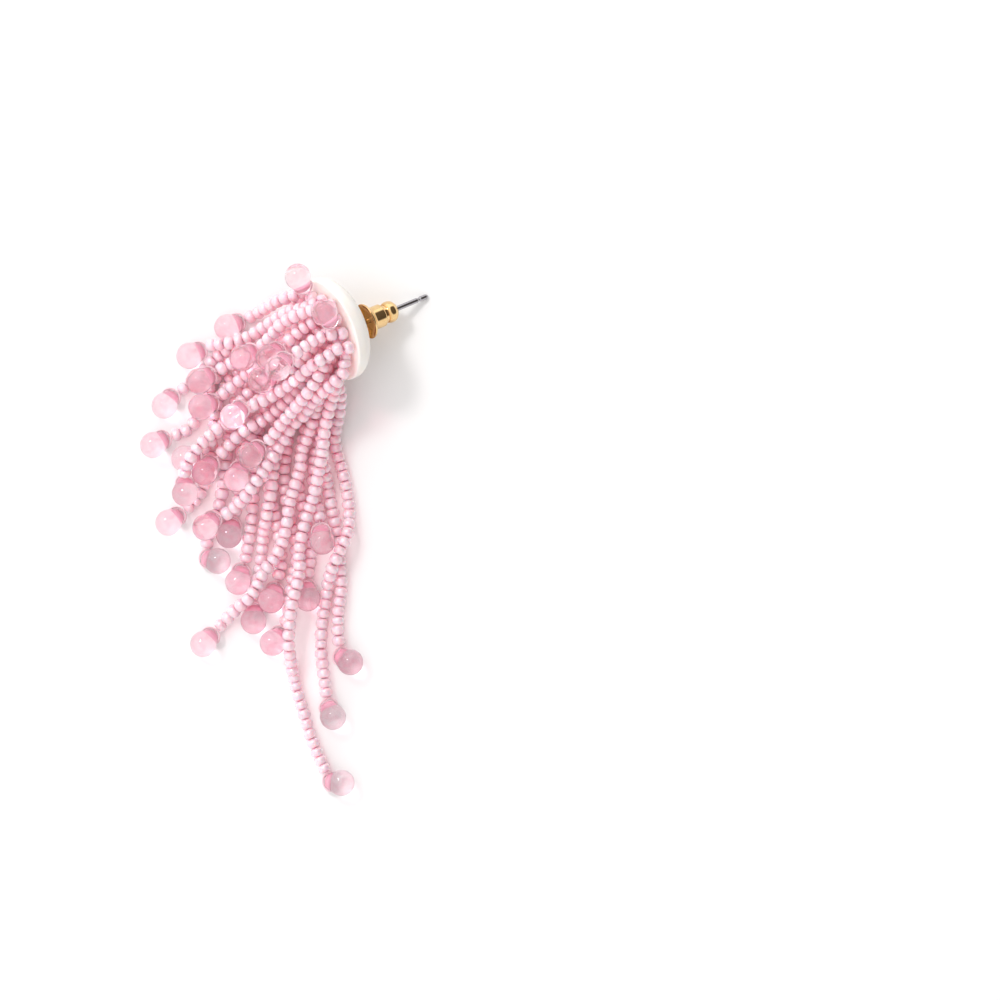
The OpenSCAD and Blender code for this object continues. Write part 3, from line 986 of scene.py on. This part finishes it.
# The routes of part.scad, in its own order, which numbers the drops. Places are in millimetres.
ROUTES = (
    Route(1, 3, 0, BLUSH, (
        (1, 28.9, 1.6), (-0.6, 26.9, 1), (-2.2, 24.9, 1), (-4.6, 23.9, 1), (-6.9, 22.6, 1),
        (-8.3, 20.9, 1), (-9.3, 19, 1), (-9.8, 17, 1), (-10.1, 14.6, 1), (-10.4, 12, 1), (-10.8, 9.6, 1),
        (-11.2, 7.4, 1), (-12, 5.4, 1), (-13.2, 3.8, 1), (-15.5, 2, 1.2),
    )),
    Route(1, 1, 70, BLUSH, (
        (1.9, 26.6, 1.4), (0.7, 24.9, 1), (-0.9, 23.2, 1), (-3.1, 22, 1), (-5.1, 21.1, 1),
        (-6.4, 19.7, 1), (-7.2, 17.8, 1), (-7.6, 15.6, 1), (-7.9, 13.3, 1), (-8.2, 11, 1), (-8.5, 8.5, 1),
        (-8.8, 6, 1), (-9.3, 3.6, 1), (-10.1, 1.4, 1), (-10.8, -0.5, 1), (-11.1, -2.3, 1),
        (-10.9, -4.1, 1.2),
    )),
    Route(1, -1, 0, ROSE, (
        (2.7, 24.5, 1.3), (1.8, 22.5, 1), (0.5, 20.6, 1), (-1.1, 19, 1), (-2.4, 17.4, 1), (-3.3, 15.6, 1),
        (-3.7, 13.3, 1), (-3.9, 11, 1), (-4.1, 8.6, 1), (-4.3, 6, 1), (-4.4, 3.4, 1), (-4.7, 0.6, 1),
        (-5.1, -2.2, 1), (-5.5, -4.2, 1), (-6.1, -6.1, 1.2),
    )),
    Route(1, -3, -15, ROSE, (
        (4.1, 22.9, 1.2), (3.8, 20.6, 1), (3, 18.4, 1), (1.8, 16.5, 1), (0.9, 14.6, 1), (0.5, 12.2, 1),
        (0.2, 9.8, 1), (0.1, 7.4, 1), (0.3, 5, 1), (0.8, 2.4, 1), (1.4, 0.1, 1), (1.8, -2.2, 1),
        (1.9, -4.8, 1), (1.3, -7.4, 1), (0.9, -10, 1), (0.6, -12.6, 1), (-0.6, -15.2, 1.2),
    )),
    Route(2, 5, 15, CLEAR, (
        (1, 31.7, 4), (-1.4, 30, 2.4), (-3.9, 28.5, 2.1), (-6.2, 27.2, 2.2), (-8.2, 26, 2.1),
        (-10, 24.8, 1.7), (-11.7, 23, 1.1), (-13.6, 21.2, 1), (-16.3, 19.2, 1.2),
    )),
    Route(2, 3, 10, BLUSH, (
        (1.2, 29.4, 4.7), (-0.9, 27.8, 3.2), (-3.2, 26.6, 1.8), (-5.5, 25.7, 1.1), (-7.6, 24.5, 1),
        (-9.2, 22.8, 1), (-10.6, 20.9, 1), (-11.6, 19.1, 1), (-12.3, 17.2, 1), (-13, 15.5, 1),
        (-14.2, 14.4, 1), (-15.7, 13.8, 1), (-17.6, 13.1, 1.2),
    )),
    Route(2, 1, 0, ROSE, (
        (2.8, 27, 4.4), (1.6, 24.8, 3.6), (0.4, 22.9, 2.8), (-1.3, 20.9, 2.1), (-2.9, 19.7, 1.6),
        (-4.6, 18.4, 1), (-5.4, 16.5, 1), (-5.7, 14.3, 1), (-6, 12, 1), (-6.2, 9.5, 1), (-6.4, 7, 1),
        (-6.6, 4.5, 1), (-7, 2.6, 1), (-7.5, 0.7, 1.2),
    )),
    Route(2, -1, -10, ROSE, (
        (3.7, 25, 4.6), (3, 22.5, 3.8), (2.5, 20.3, 2.9), (1, 18.2, 1.8), (-0.5, 16.6, 1.2),
        (-1.3, 14.6, 1), (-1.6, 12.2, 1), (-1.9, 9.8, 1), (-2.1, 7.4, 1), (-1.9, 5, 1), (-1.3, 2.4, 1),
        (-0.8, 0, 1), (-0.5, -2.4, 1), (-0.3, -4.6, 1), (-0.6, -6.2, 1), (-1.2, -8.8, 1.2),
    )),
    Route(2, -3, 10, ROSE, (
        (4.9, 22.7, 4.1), (5.6, 20.6, 1.8), (5, 18.2, 1.1), (3.9, 16.2, 1), (3.1, 14.2, 1), (2.7, 12, 1),
        (2.4, 9.6, 1), (2.2, 7.2, 1), (2.4, 4.9, 1), (2.9, 2.6, 1), (3.5, 0.3, 1), (4, -2, 1),
        (3.9, -4.6, 1), (3.6, -6.2, 1), (3.4, -8.4, 1.2),
    )),
    Route(2, -5, 0, ROSE, (
        (7.2, 20.6, 3.4), (7, 18.3, 1.8), (6.2, 16.3, 1.1), (5.3, 14.2, 1), (4.8, 12, 1), (4.5, 9.6, 1),
        (4.3, 7.2, 1), (4.6, 5, 1), (5.1, 3, 1.5), (5.3, 1.4, 2.6), (5.5, -0.2, 3.3),
    )),
    Route(3, 6, 0, BLUSH, (
        (1.6, 34, 6.6), (-0.2, 33.4, 5.2), (-1.8, 32.6, 3.6), (-3.4, 31.6, 2), (-5, 30.8, 1.2),
        (-6.8, 30, 1.2),
    )),
    Route(3, 4, 0, CLEAR, (
        (1.2, 29.6, 6.6), (-1.2, 27.8, 5.4), (-3.8, 26, 4.1), (-6.2, 24.8, 3.3), (-8.3, 23.8, 3.1),
        (-9.5, 23.1, 3.1), (-10.9, 22.3, 3.2),
    )),
    Route(3, 2, -15, CLEAR, (
        (2.6, 28, 6.6), (0.6, 25.8, 5.5), (-1.4, 23.6, 4.2), (-3.6, 21.4, 3.3), (-5.6, 19.2, 3),
        (-7.4, 17, 3), (-9, 14.8, 3), (-10.4, 13, 3), (-11.7, 11.8, 2.4), (-13, 10.9, 1.3),
    )),
    Route(3, 0, 0, BLUSH, (
        (3.8, 26.1, 6.8), (2.2, 23.7, 5.8), (0.4, 21.3, 4.5), (-1.4, 19, 3.4), (-3, 16.6, 3),
        (-4.3, 14.2, 3), (-5.2, 12, 3), (-5.8, 10.3, 3), (-6.3, 8.8, 3.2),
    )),
    Route(3, -2, 0, ROSE, (
        (4.6, 23.8, 6.6), (3.8, 21.2, 5.4), (2.5, 18.7, 4.3), (1.1, 16.6, 3.3), (0, 14.2, 3),
        (-0.9, 11.6, 3), (-1.4, 9, 3), (-1.7, 6.2, 3), (-2.1, 3.8, 3), (-2.5, 1.4, 2.5),
        (-2.9, -0.8, 1.4), (-3.1, -2.8, 1), (-3.3, -4.8, 1), (-3.7, -7, 1), (-4.3, -9.2, 1),
        (-4.3, -11.7, 1.2),
    )),
    Route(3, -4, 45, ROSE, (
        (6, 22.2, 6.8), (6, 19.8, 4.8), (5.8, 17.6, 3.4), (5.7, 15.6, 3), (5.6, 13.8, 3),
        (5.7, 11.2, 2.8), (6, 8.8, 2.3), (6.4, 6.6, 1.2), (6.8, 4.4, 1), (7.3, 2, 1), (7.8, -0.4, 1),
        (8.2, -2.8, 1), (8.3, -5.6, 1), (8.4, -8.6, 1), (8, -11.6, 1), (7.9, -14.2, 1), (8.1, -16.4, 1),
        (8.5, -18.3, 1.2),
    )),
    Route(3, -6, 15, CLEAR, (
        (8.3, 19.8, 5.2), (8.2, 17.4, 3.4), (7.7, 15, 2), (7.4, 13, 1.1), (7.8, 11.2, 1), (8.4, 9.2, 1),
        (9, 6.8, 1), (9.4, 4.4, 1), (9.6, 2, 1.2), (9.4, -0.2, 2.5), (8.7, -2, 3), (7.9, -3.6, 3),
        (7.3, -5, 2.9), (6.8, -6.4, 2.3), (6.4, -8, 1.5), (6.2, -9.8, 1), (5.8, -12.2, 1), (5.5, -15, 1),
        (5.5, -17.8, 1), (5.8, -20.4, 1), (6.2, -23.4, 1), (6.6, -25.7, 1.2),
    )),
    Route(4, 5, -5, BLUSH, ((-1.1, 1.7, 0.9),)),
    Route(4, 3, -15, BLUSH, (
        (2.8, 29.8, 8.8), (0.6, 27.8, 7.9), (-1.8, 25.6, 6.3), (-4, 23.6, 4.8), (-6.2, 21.8, 3.6),
        (-8, 20.3, 3.1), (-9, 19.5, 3.1), (-10.5, 18.4, 3.2),
    )),
    Route(4, 1, 0, ROSE, (
        (4, 27.2, 9), (2.2, 24.8, 8.2), (0.2, 22.4, 6.9), (-2, 20.2, 5.8), (-4.2, 18.2, 5.1),
        (-6.4, 16.6, 5), (-8.3, 15.4, 5), (-9.8, 14.5, 5), (-10.9, 13.4, 5), (-12, 12.3, 5.2),
        (-12.9, 11.2, 5.3), (-13.7, 9.9, 5.2), (-14.2, 8.6, 4.5), (-14.2, 6.8, 2.6),
    )),
    Route(4, -1, 15, ROSE, (
        (5, 25.3, 8.8), (3.6, 22.6, 8), (1.8, 20, 6.8), (-0.2, 18, 5.8), (-2.4, 16.2, 5.1),
        (-4.6, 15, 4.9), (-6.7, 13.5, 4.2), (-7.9, 12.2, 3.5), (-8.9, 11.2, 3.2), (-10.6, 9.6, 3.2),
    )),
    Route(4, -3, 0, BLUSH, (
        (6.1, 23, 9.2), (5.5, 20.2, 7.6), (4.9, 17.6, 5.2), (4.4, 16, 4.6), (3.9, 14.6, 3.8),
        (3.3, 13, 3.2), (2.6, 11.2, 3), (2.6, 9.4, 3), (1.8, 6.8, 3), (1, 4, 3), (0.5, 0.8, 3),
        (-0.2, -2, 3), (-1.4, -4.3, 3), (-2.7, -5.9, 3), (-3.8, -8.1, 3.4), (-5, -9.9, 3.3),
        (-6.6, -11.2, 2.3), (-7.9, -12.5, 1.3), (-10.6, -15.4, 1.2),
    )),
    Route(4, -5, 55, CLEAR, (
        (8.4, 22.4, 8.9), (7.7, 21.2, 8.7), (7.4, 19.6, 7.3), (6.8, 17.8, 6.3), (6.3, 15.8, 5.4),
        (5.9, 13.4, 5), (5.7, 11.2, 4.8), (5.2, 8.8, 4.3), (4.9, 7.2, 3.7), (4.3, 4.6, 3), (3.4, 1.8, 3),
        (2.7, -0.8, 3), (2.3, -3.4, 3), (2.4, -5.4, 3.1), (2, -7.9, 3.7), (1.3, -10.6, 3.9),
        (0.9, -14.1, 3.5), (0.8, -16.6, 3.5), (1.1, -18.8, 2.3), (1.5, -21.1, 1.1), (2.2, -24.1, 1),
        (3, -26.6, 1), (3.7, -29.1, 1), (4.5, -31.2, 1), (5.6, -33.8, 1), (7, -36.4, 1.2),
    )),
    Route(5, 4, 0, BLUSH, (
        (3.2, 32.1, 10), (1, 31.6, 8), (-1, 30.5, 6.4), (-3, 29.2, 5), (-5, 28, 4.2), (-7.2, 27.2, 4.1),
        (-9, 27, 3.6), (-10.6, 26.7, 2.4), (-12.3, 25.9, 1.4),
    )),
    Route(5, 2, 0, ROSE, (
        (4.2, 29.9, 10.8), (3, 29.2, 10.7), (1.8, 28.2, 10.5), (-0.9, 25.9, 10.2),
    )),
    Route(5, 0, -10, ROSE, (
        (5.2, 27.4, 11), (3.6, 25.6, 10.6), (2, 24, 9.8), (0.6, 23, 9.2), (-1.8, 22, 8.1),
    )),
    Route(5, -2, 0, BLUSH, (
        (6.5, 25.1, 11), (5.5, 22.8, 11), (4.3, 20.8, 10.6), (2.8, 18.8, 9.5), (1.1, 16.9, 7.9),
        (-0.5, 15, 6.9), (-1.9, 13.2, 6), (-3.7, 11.7, 5.4),
    )),
    Route(5, -4, 25, ROSE, (
        (9.1, 23.3, 11), (7.8, 21.7, 10.8), (6.2, 20.3, 9.9), (4.9, 19.2, 9), (4, 18.1, 7.7),
        (3, 16.6, 6.2), (1.4, 15.2, 5.4), (0.2, 13.2, 5), (-1.1, 11.2, 5), (-2.5, 8.9, 5.2),
        (-4, 6.9, 5.4), (-5.1, 5.3, 4.9), (-6.4, 3.9, 3.8), (-8, 2.5, 3.1), (-10.3, 1.5, 3.2),
    )),
    Route(6, 3, 0, ROSE, (
        (4.6, 31.9, 12.4), (2.8, 31.3, 11.6), (1.3, 30.7, 10.7), (0, 29.9, 9.9), (-1, 28.9, 9.2),
        (-2, 27.7, 8.4), (-3.2, 26.6, 7.3), (-4.6, 25.7, 6.5),
    )),
    Route(6, 1, -53, BLUSH, ((-0.5, 0, 2),)),
    Route(6, -1, 15, BLUSH, (
        (7.2, 28.3, 13.2), (5.9, 28, 13.3), (4.4, 27.3, 13.1), (3, 26.3, 13.2), (0.3, 24.5, 13.5),
    )),
    Route(6, -3, 25, BLUSH, (
        (8, 26.2, 13.1), (6.6, 25.2, 12.9), (5, 24.3, 12.7), (3.6, 23.2, 11.2), (2, 21.8, 10),
        (0.4, 20.6, 8.8), (-1.6, 19.4, 7.9), (-3.4, 18.5, 7.5), (-4.6, 18.1, 7.3), (-6.2, 17.5, 7.1),
    )),
)


@dataclass
class SeedStrings:
    """The strings of seed beads and the thread that carries them, one piece for each sewn row."""

    lie: Lie
    bead_r: float = 0.97
    hole_r: float = 0.24
    bead_l: float = 1.42
    squareness: float = 2.3
    pitch: float = 1.42
    share_range: Pair = (0.87, 1.13)
    size_spread: float = 0.04
    common_tone: float = 0.35
    tilt_spread: float = 5.0
    thread_r: float = 0.13
    around: int = 20
    across: int = 12
    seed: int = 11

    def bead_form(self) -> tuple[np.ndarray, np.ndarray, np.ndarray]:
        """Shapes one bead, a rounded ring about Z with a straight hole.

        Returns:
            Its vertices, its four-sided faces, and how far each vertex has turned in to the hole.
        """
        wall = self.bead_r - self.hole_r
        turn = np.linspace(-math.pi / 2, math.pi / 2, self.across)
        power = 2 / self.squareness
        along = self.bead_l / 2 * np.sign(turn) * np.abs(np.sin(turn)) ** power
        out = self.hole_r + wall * np.clip(np.cos(turn), 0, 1) ** power
        round_it = np.arange(self.around) * 2 * math.pi / self.around
        across, up = (np.outer(wave(round_it), out).ravel() for wave in (np.cos, np.sin))
        points = np.stack([across, up, np.tile(along, self.around)], 1)
        # The finish paints the grooves between beads a deeper pink by this, as painted shade.
        turned_in = np.tile((self.bead_r - out) / wall, self.around)
        faces = []
        for i in range(self.around):
            for j in range(self.across):
                a, b = (i + 1) % self.around, (j + 1) % self.across
                ring, after = i * self.across, a * self.across
                faces.append((ring + j, after + j, after + b, ring + b))
        return points, np.array(faces), turned_in

    def thread_beads(self, path: StringPath, parts: MeshParts, luck: random.Random) -> int:
        """Threads one string's beads along its line.

        Args:
            path: The string's line.
            parts: What takes the beads' meshes.
            luck: The seeded source of the small differences between beads.

        Returns:
            The number of beads.
        """
        form, faces, turned_in = self.bead_form()
        count = max(1, round(path.beads_end / self.pitch))
        shares = np.array([luck.uniform(*self.share_range) for _ in range(count)])
        shares *= path.beads_end / shares.sum()
        ends = np.concatenate([[0], np.cumsum(shares)])
        for i, share in enumerate(shares):
            centre = (ends[i] + ends[i + 1]) / 2
            way = Vector(path.way(centre))
            turn = way.to_track_quat("Z", "Y").to_matrix()
            turn = turn @ Matrix.Rotation(luck.uniform(0, 2 * math.pi), 3, "Z")
            turn = turn @ Matrix.Rotation(math.radians(luck.gauss(0, self.tilt_spread)), 3, "X")
            size = 1 + luck.uniform(-self.size_spread, self.size_spread)
            scale = np.array([size, size, share / self.pitch])
            points = (form * scale) @ np.array(turn).T + path.at(centre)
            tone = np.full(len(form), luck.triangular(0, 1, self.common_tone))
            parts.add(points, faces, tone=tone, turn_in=turned_in)
        return count

    def build(self) -> int:
        """Builds the beads and threads of all six rows.

        Returns:
            The number of beads.
        """
        luck = random.Random(self.seed)
        total = 0
        for row in sorted({route.row for route in ROUTES}):
            beads, threads = MeshParts(), MeshParts()
            for route in (r for r in ROUTES if r.row == row):
                path = StringPath(route, self.lie)
                total += self.thread_beads(path, beads, luck)
                threads.add(*tube(path.thread_line(), self.thread_r))
            node = f"string_row_{row}"
            for kind, parts, finish in (
                ("seed_beads", beads, PearlSeedGlass()),
                ("beading_thread", threads, BeadingNylon()),
            ):
                piece = parts.build(f"{kind}_row_{row}")
                Dressing("earring", (node,), "seed_beads", finish).put_on(piece)
        return total


@dataclass
class GlassDrops:
    """The drop beads: solid glass with a hole through the neck, lined with pink enamel."""

    lie: Lie
    drop: DropShape = DropShape()
    hole_r: float = 0.5
    lining_r: float = 0.58
    lining_wall: float = 0.14
    lining_l: float = 2.0
    drill_reach: float = 3.0
    turns: int = 48
    hole_turns: int = 24
    neck_steps: int = 12
    bulb_steps: int = 24

    def outline(self) -> list[Pair]:
        """Draws the drop's outline: round neck, straight flank, round end.

        Returns:
            Pairs of out and along, in millimetres.
        """
        drop, flank = self.drop, self.drop.flank
        neck = [
            (drop.neck_r * math.cos(a), drop.neck_r * math.sin(a))
            for a in np.linspace(-math.pi / 2, -flank, self.neck_steps)
        ]
        bulb = [
            (drop.end_r * math.cos(a), drop.reach + drop.end_r * math.sin(a))
            for a in np.linspace(-flank, math.pi / 2, self.bulb_steps)
        ]
        neck[0], bulb[-1] = (0.0, -drop.neck_r), (0.0, drop.reach + drop.end_r)
        return [*neck, *bulb]

    def drilled_form(self) -> Mesh:
        """Turns one drop and drills its hole.

        Returns:
            The mesh that each tint's drops take a copy of.
        """
        body = turned("drop_form", self.outline(), Matrix(), closed=False, turns=self.turns)
        low, high = -self.drill_reach, self.drill_reach
        bit = [(0.0, low), (self.hole_r, low), (self.hole_r, high), (0.0, high)]
        drill = turned("drill", bit, ALONG_HOLE, closed=False, turns=self.hole_turns)
        return cut_out(body, drill)

    def build(self) -> int:
        """Builds every drop and its lining.

        Returns:
            The number of drops.
        """
        form = self.drilled_form()
        forms: dict[DropTint, Mesh] = {}
        for tint in DropTint:
            mesh = form.copy()
            mesh.name = f"drop_form_{tint.name.lower()}"
            mesh.materials.append(tint.finish().material())
            forms[tint] = mesh
        half, inner = self.lining_l / 2, self.lining_r - self.lining_wall
        ring = [(inner, -half), (self.lining_r, -half), (self.lining_r, half), (inner, half)]
        for i, route in enumerate(ROUTES):
            path = StringPath(route, self.lie)
            node = f"drop_{i + 1:02d}"
            glass = placed(f"glass_{node}", forms[route.tint], path.drop_place())
            place = path.drop_place() @ ALONG_HOLE
            name = f"enamel_lining_{i + 1:02d}"
            lining = turned(name, ring, place, closed=True, turns=self.hole_turns)
            for piece, finish in ((glass, route.tint.finish()), (lining, PinkLining())):
                Dressing("earring", (node,), "drops", finish).put_on(piece)
        return len(ROUTES)


# Backing, ear post and clutch


@dataclass
class Backing:
    """The cast backing: a flat front with a rounded rim, a low dome, and a seat for the pad."""

    lie: Lie
    rim_round: float = 0.35
    seat_r: float = 2.8
    dome_steps: int = 36

    def build(self) -> Object:
        """Turns the backing and cuts the pad's seat into its dome.

        Returns:
            The backing's piece.
        """
        lie = self.lie
        front = rounded([
            Corner(0, -lie.band_h),
            Corner(lie.backing_r, -lie.band_h, self.rim_round),
            Corner(lie.backing_r, 0),
        ])
        dome = [
            (lie.backing_r * math.cos(a), lie.dome_h * math.sin(a))
            for a in np.linspace(0, math.pi / 2, self.dome_steps)
        ]
        dome[-1] = (0.0, lie.dome_h)
        body = turned("dome_form", [*front, *dome[1:]], lie.place(), closed=False)
        seat, clear = lie.dome_h - lie.pad_t / 2, 2 * lie.dome_h
        cutter = [(0.0, seat), (self.seat_r, seat), (self.seat_r, clear), (0.0, clear)]
        tool = turned("seat_cutter", cutter, lie.post_place(), closed=False)
        piece = placed("cast_backing", cut_out(body, tool), lie.place())
        piece.modifiers.new("Flat faces stay flat", "WEIGHTED_NORMAL").keep_sharp = True
        return Dressing("earring", ("backing",), "backing", CastResin()).put_on(piece)


@dataclass
class EarPost:
    """The steel pad and the pin that is soldered to it, with the ring notch near the tip."""

    lie: Lie
    pad_r: float = 2.7
    glue_t: float = 0.02
    notch_at: float = 1.6
    notch_w: float = 0.6
    notch_deep: float = 0.14
    edge_round: float = 0.12
    solder_round: float = 0.35
    notch_edge_round: float = 0.05
    notch_round: float = 0.15
    taper_round: float = 0.15
    tip_round: float = 0.12
    tip_share: float = 0.45
    turns: int = 64

    def build(self) -> Object:
        """Turns the pad and the pin as one.

        Returns:
            The post's piece.
        """
        lie = self.lie
        low = lie.dome_h - lie.pad_t / 2 + self.glue_t
        high = low + lie.pad_t
        notch = lie.tip_at - self.notch_at
        slim = lie.post_r - self.notch_deep
        taper = lie.tip_at - lie.tip_l
        outline = rounded([
            Corner(0, low),
            Corner(self.pad_r, low, self.edge_round),
            Corner(self.pad_r, high, self.edge_round),
            Corner(lie.post_r, high, self.solder_round),
            Corner(lie.post_r, notch - self.notch_w / 2, self.notch_edge_round),
            Corner(slim, notch, self.notch_round),
            Corner(lie.post_r, notch + self.notch_w / 2, self.notch_edge_round),
            Corner(lie.post_r, taper, self.taper_round),
            Corner(lie.post_r * self.tip_share, lie.tip_at, self.tip_round),
            Corner(0, lie.tip_at),
        ])
        place = lie.post_place()
        piece = turned("soldered_ear_post", outline, place, closed=False, turns=self.turns)
        return Dressing("earring", ("ear_post",), "ear_post", DrawnSteel()).put_on(piece)


@dataclass
class Clutch:
    """The gold clutch that slides on the pin: dished flange, barrel, neck and end bead."""

    lie: Lie
    at: float = 1.4
    clear: float = 0.05
    flange_r: float = 2.65
    flange_t: float = 0.35
    dish_deep: float = 0.6
    barrel_r: float = 1.7
    barrel_l: float = 2.3
    neck_r: float = 1.3
    neck_l: float = 0.45
    end_r: float = 1.6
    end_l: float = 1.8
    bevel: float = 0.2
    dish_floor: float = 0.01
    dish_round: float = 0.55
    rim_round: float = 0.17
    barrel_round: float = 0.3
    step_round: float = 0.12
    neck_round: float = 0.1
    end_low_round: float = 0.6
    end_high_round: float = 0.8
    end_top_round: float = 0.3
    mouth: float = 0.12

    def build(self) -> Object:
        """Turns the clutch, which rides on a body of its own.

        Returns:
            The clutch's piece.
        """
        lie, bevel = self.lie, self.bevel
        start = lie.dome_h - lie.pad_t / 2 + lie.pad_t + self.at
        bore = lie.post_r + self.clear
        dish = start + self.dish_deep
        barrel_end = dish + self.barrel_l
        neck_end = barrel_end + self.neck_l
        end = neck_end + self.end_l
        outline = rounded([
            Corner(bore, dish),
            Corner(bore + self.dish_floor, dish),
            Corner(self.barrel_r, dish, self.dish_round),
            Corner(self.flange_r, start, self.rim_round),
            Corner(self.flange_r, start + self.flange_t, self.rim_round),
            Corner(self.barrel_r, dish + self.flange_t, self.barrel_round),
            Corner(self.barrel_r, barrel_end - bevel, self.barrel_round),
            Corner(self.barrel_r - bevel, barrel_end, self.step_round),
            Corner(self.neck_r, barrel_end, self.neck_round),
            Corner(self.neck_r, neck_end, self.neck_round),
            Corner(self.end_r - bevel, neck_end, self.step_round),
            Corner(self.end_r, neck_end + 2 * bevel, self.end_low_round),
            Corner(self.end_r, end - 3 * bevel, self.end_high_round),
            Corner(self.end_r - 3 * bevel, end, self.end_top_round),
            Corner(bore + self.mouth, end, self.neck_round),
            Corner(bore, end - self.mouth),
        ])
        piece = turned("gold_clutch", outline, lie.post_place(), closed=True)
        return Dressing("clutch", ("clutch",), "clutch", GoldPlate()).put_on(piece)


# Studio


@dataclass
class Studio:
    """The white paper, the soft light and the camera that looks straight down."""

    middle: Pair = (31.4, 4.4)
    width: float = 144.93
    camera_height: float = 2500.0
    sensor: float = 36.0
    paper: float = 6000.0
    key_power: float = 3.2
    key_size: float = 0.18
    key_at: Triple = (-0.45, 0.5, 0.78)
    window_way: Triple = (-0.1, 0.94, 0.32)
    window_side: float = 1.5
    far_side: float = 1.06
    opening_way: Triple = (0.73, 0.31, 0.61)
    opening_half: float = 34.0
    opening_soft: float = 12.0
    tent_cloth: str = "#FFFFFF"
    dark_cloth: str = "#5A534E"
    clip_end: float = 100.0

    def lay_paper(self) -> Object:
        """Lays the paper at Z 0.

        Returns:
            The paper.
        """
        half = self.paper / 2
        parts = MeshParts()
        signs = ((-1, -1), (1, -1), (1, 1), (-1, 1))
        parts.add(np.array([(x * half, y * half, 0) for x, y in signs]), np.array([(0, 1, 2, 3)]))
        paper = parts.build("studio_paper")
        paper.data.materials.append(StudioPaper().material())
        return paper

    def hang_light(self) -> Object:
        """Hangs the key light at the upper left.

        Returns:
            The lamp's object.
        """
        lamp = bpy.data.lights.new("key_softbox", "AREA")
        lamp.shape = "SQUARE"
        lamp.size = self.key_size
        lamp.energy = self.key_power
        key = placed("key_softbox", lamp)
        key.location = self.key_at
        key.rotation_euler = (-key.location).to_track_quat("-Z", "Y").to_euler()
        return key

    def surround(self) -> bpy.types.World:
        """Surrounds the table with a white light tent, brighter on its window side.

        At the right the tent is open, and dark cloth hangs there. Polished metal shows that
        opening as a dark band.

        Returns:
            The world.
        """
        world = bpy.data.worlds.new("light_tent")
        world.use_nodes = True
        tree = world.node_tree
        tree.nodes.clear()
        way = add_node(tree, "ShaderNodeTexCoord").outputs["Generated"]
        dot = {"operation": "DOT_PRODUCT"}
        toward = {0: way, 1: self.window_way}
        window = add_node(tree, "ShaderNodeVectorMath", dot, toward).outputs["Value"]
        span = {"Value": window, "To Min": self.far_side, "To Max": self.window_side}
        bright = add_node(tree, "ShaderNodeMapRange", inputs=span).outputs[0]
        toward = {0: way, 1: self.opening_way}
        opening = add_node(tree, "ShaderNodeVectorMath", dot, toward).outputs["Value"]
        rim = math.cos(math.radians(self.opening_half + self.opening_soft))
        inside = math.cos(math.radians(self.opening_half))
        span = {"Value": opening, "From Min": rim, "From Max": inside}
        open_here = add_node(tree, "ShaderNodeMapRange", inputs=span).outputs[0]
        cloths = {0: open_here, 6: linear(self.tent_cloth), 7: linear(self.dark_cloth)}
        colour = add_node(tree, "ShaderNodeMix", COLOURS, cloths).outputs[2]
        light = {"Color": colour, "Strength": bright}
        sky = add_node(tree, "ShaderNodeBackground", inputs=light)
        add_node(tree, "ShaderNodeOutputWorld", inputs={"Surface": sky.outputs[0]})
        bpy.context.scene.world = world
        return world

    def point_camera(self) -> Object:
        """Points the camera straight down.

        Returns:
            The camera's object.
        """
        lens = bpy.data.cameras.new("camera")
        lens.sensor_width = self.sensor
        lens.lens = self.sensor * self.camera_height / self.width
        lens.clip_end = self.clip_end
        camera = placed("camera", lens)
        x, y = self.middle
        camera.location = (x * MM, y * MM, self.camera_height * MM)
        bpy.context.scene.camera = camera
        return camera

    def build(self) -> None:
        """Sets the whole studio."""
        self.lay_paper()
        self.hang_light()
        self.surround()
        self.point_camera()
        bpy.context.scene.view_settings.view_transform = "Standard"


def main() -> None:
    """Builds the earring and its studio in order, and notes the sizes."""
    logging.basicConfig(level=logging.INFO, format="%(name)s: %(message)s")
    lie = Lie()
    Studio().build()
    for part in (Backing(lie), EarPost(lie), Clutch(lie)):
        log.info("%s built", part.build().name)
    log.info("%d seed beads strung", SeedStrings(lie).build())
    log.info("%d glass drops hung", GlassDrops(lie).build())
    bpy.context.view_layer.update()


if __name__ == "__main__":
    main()
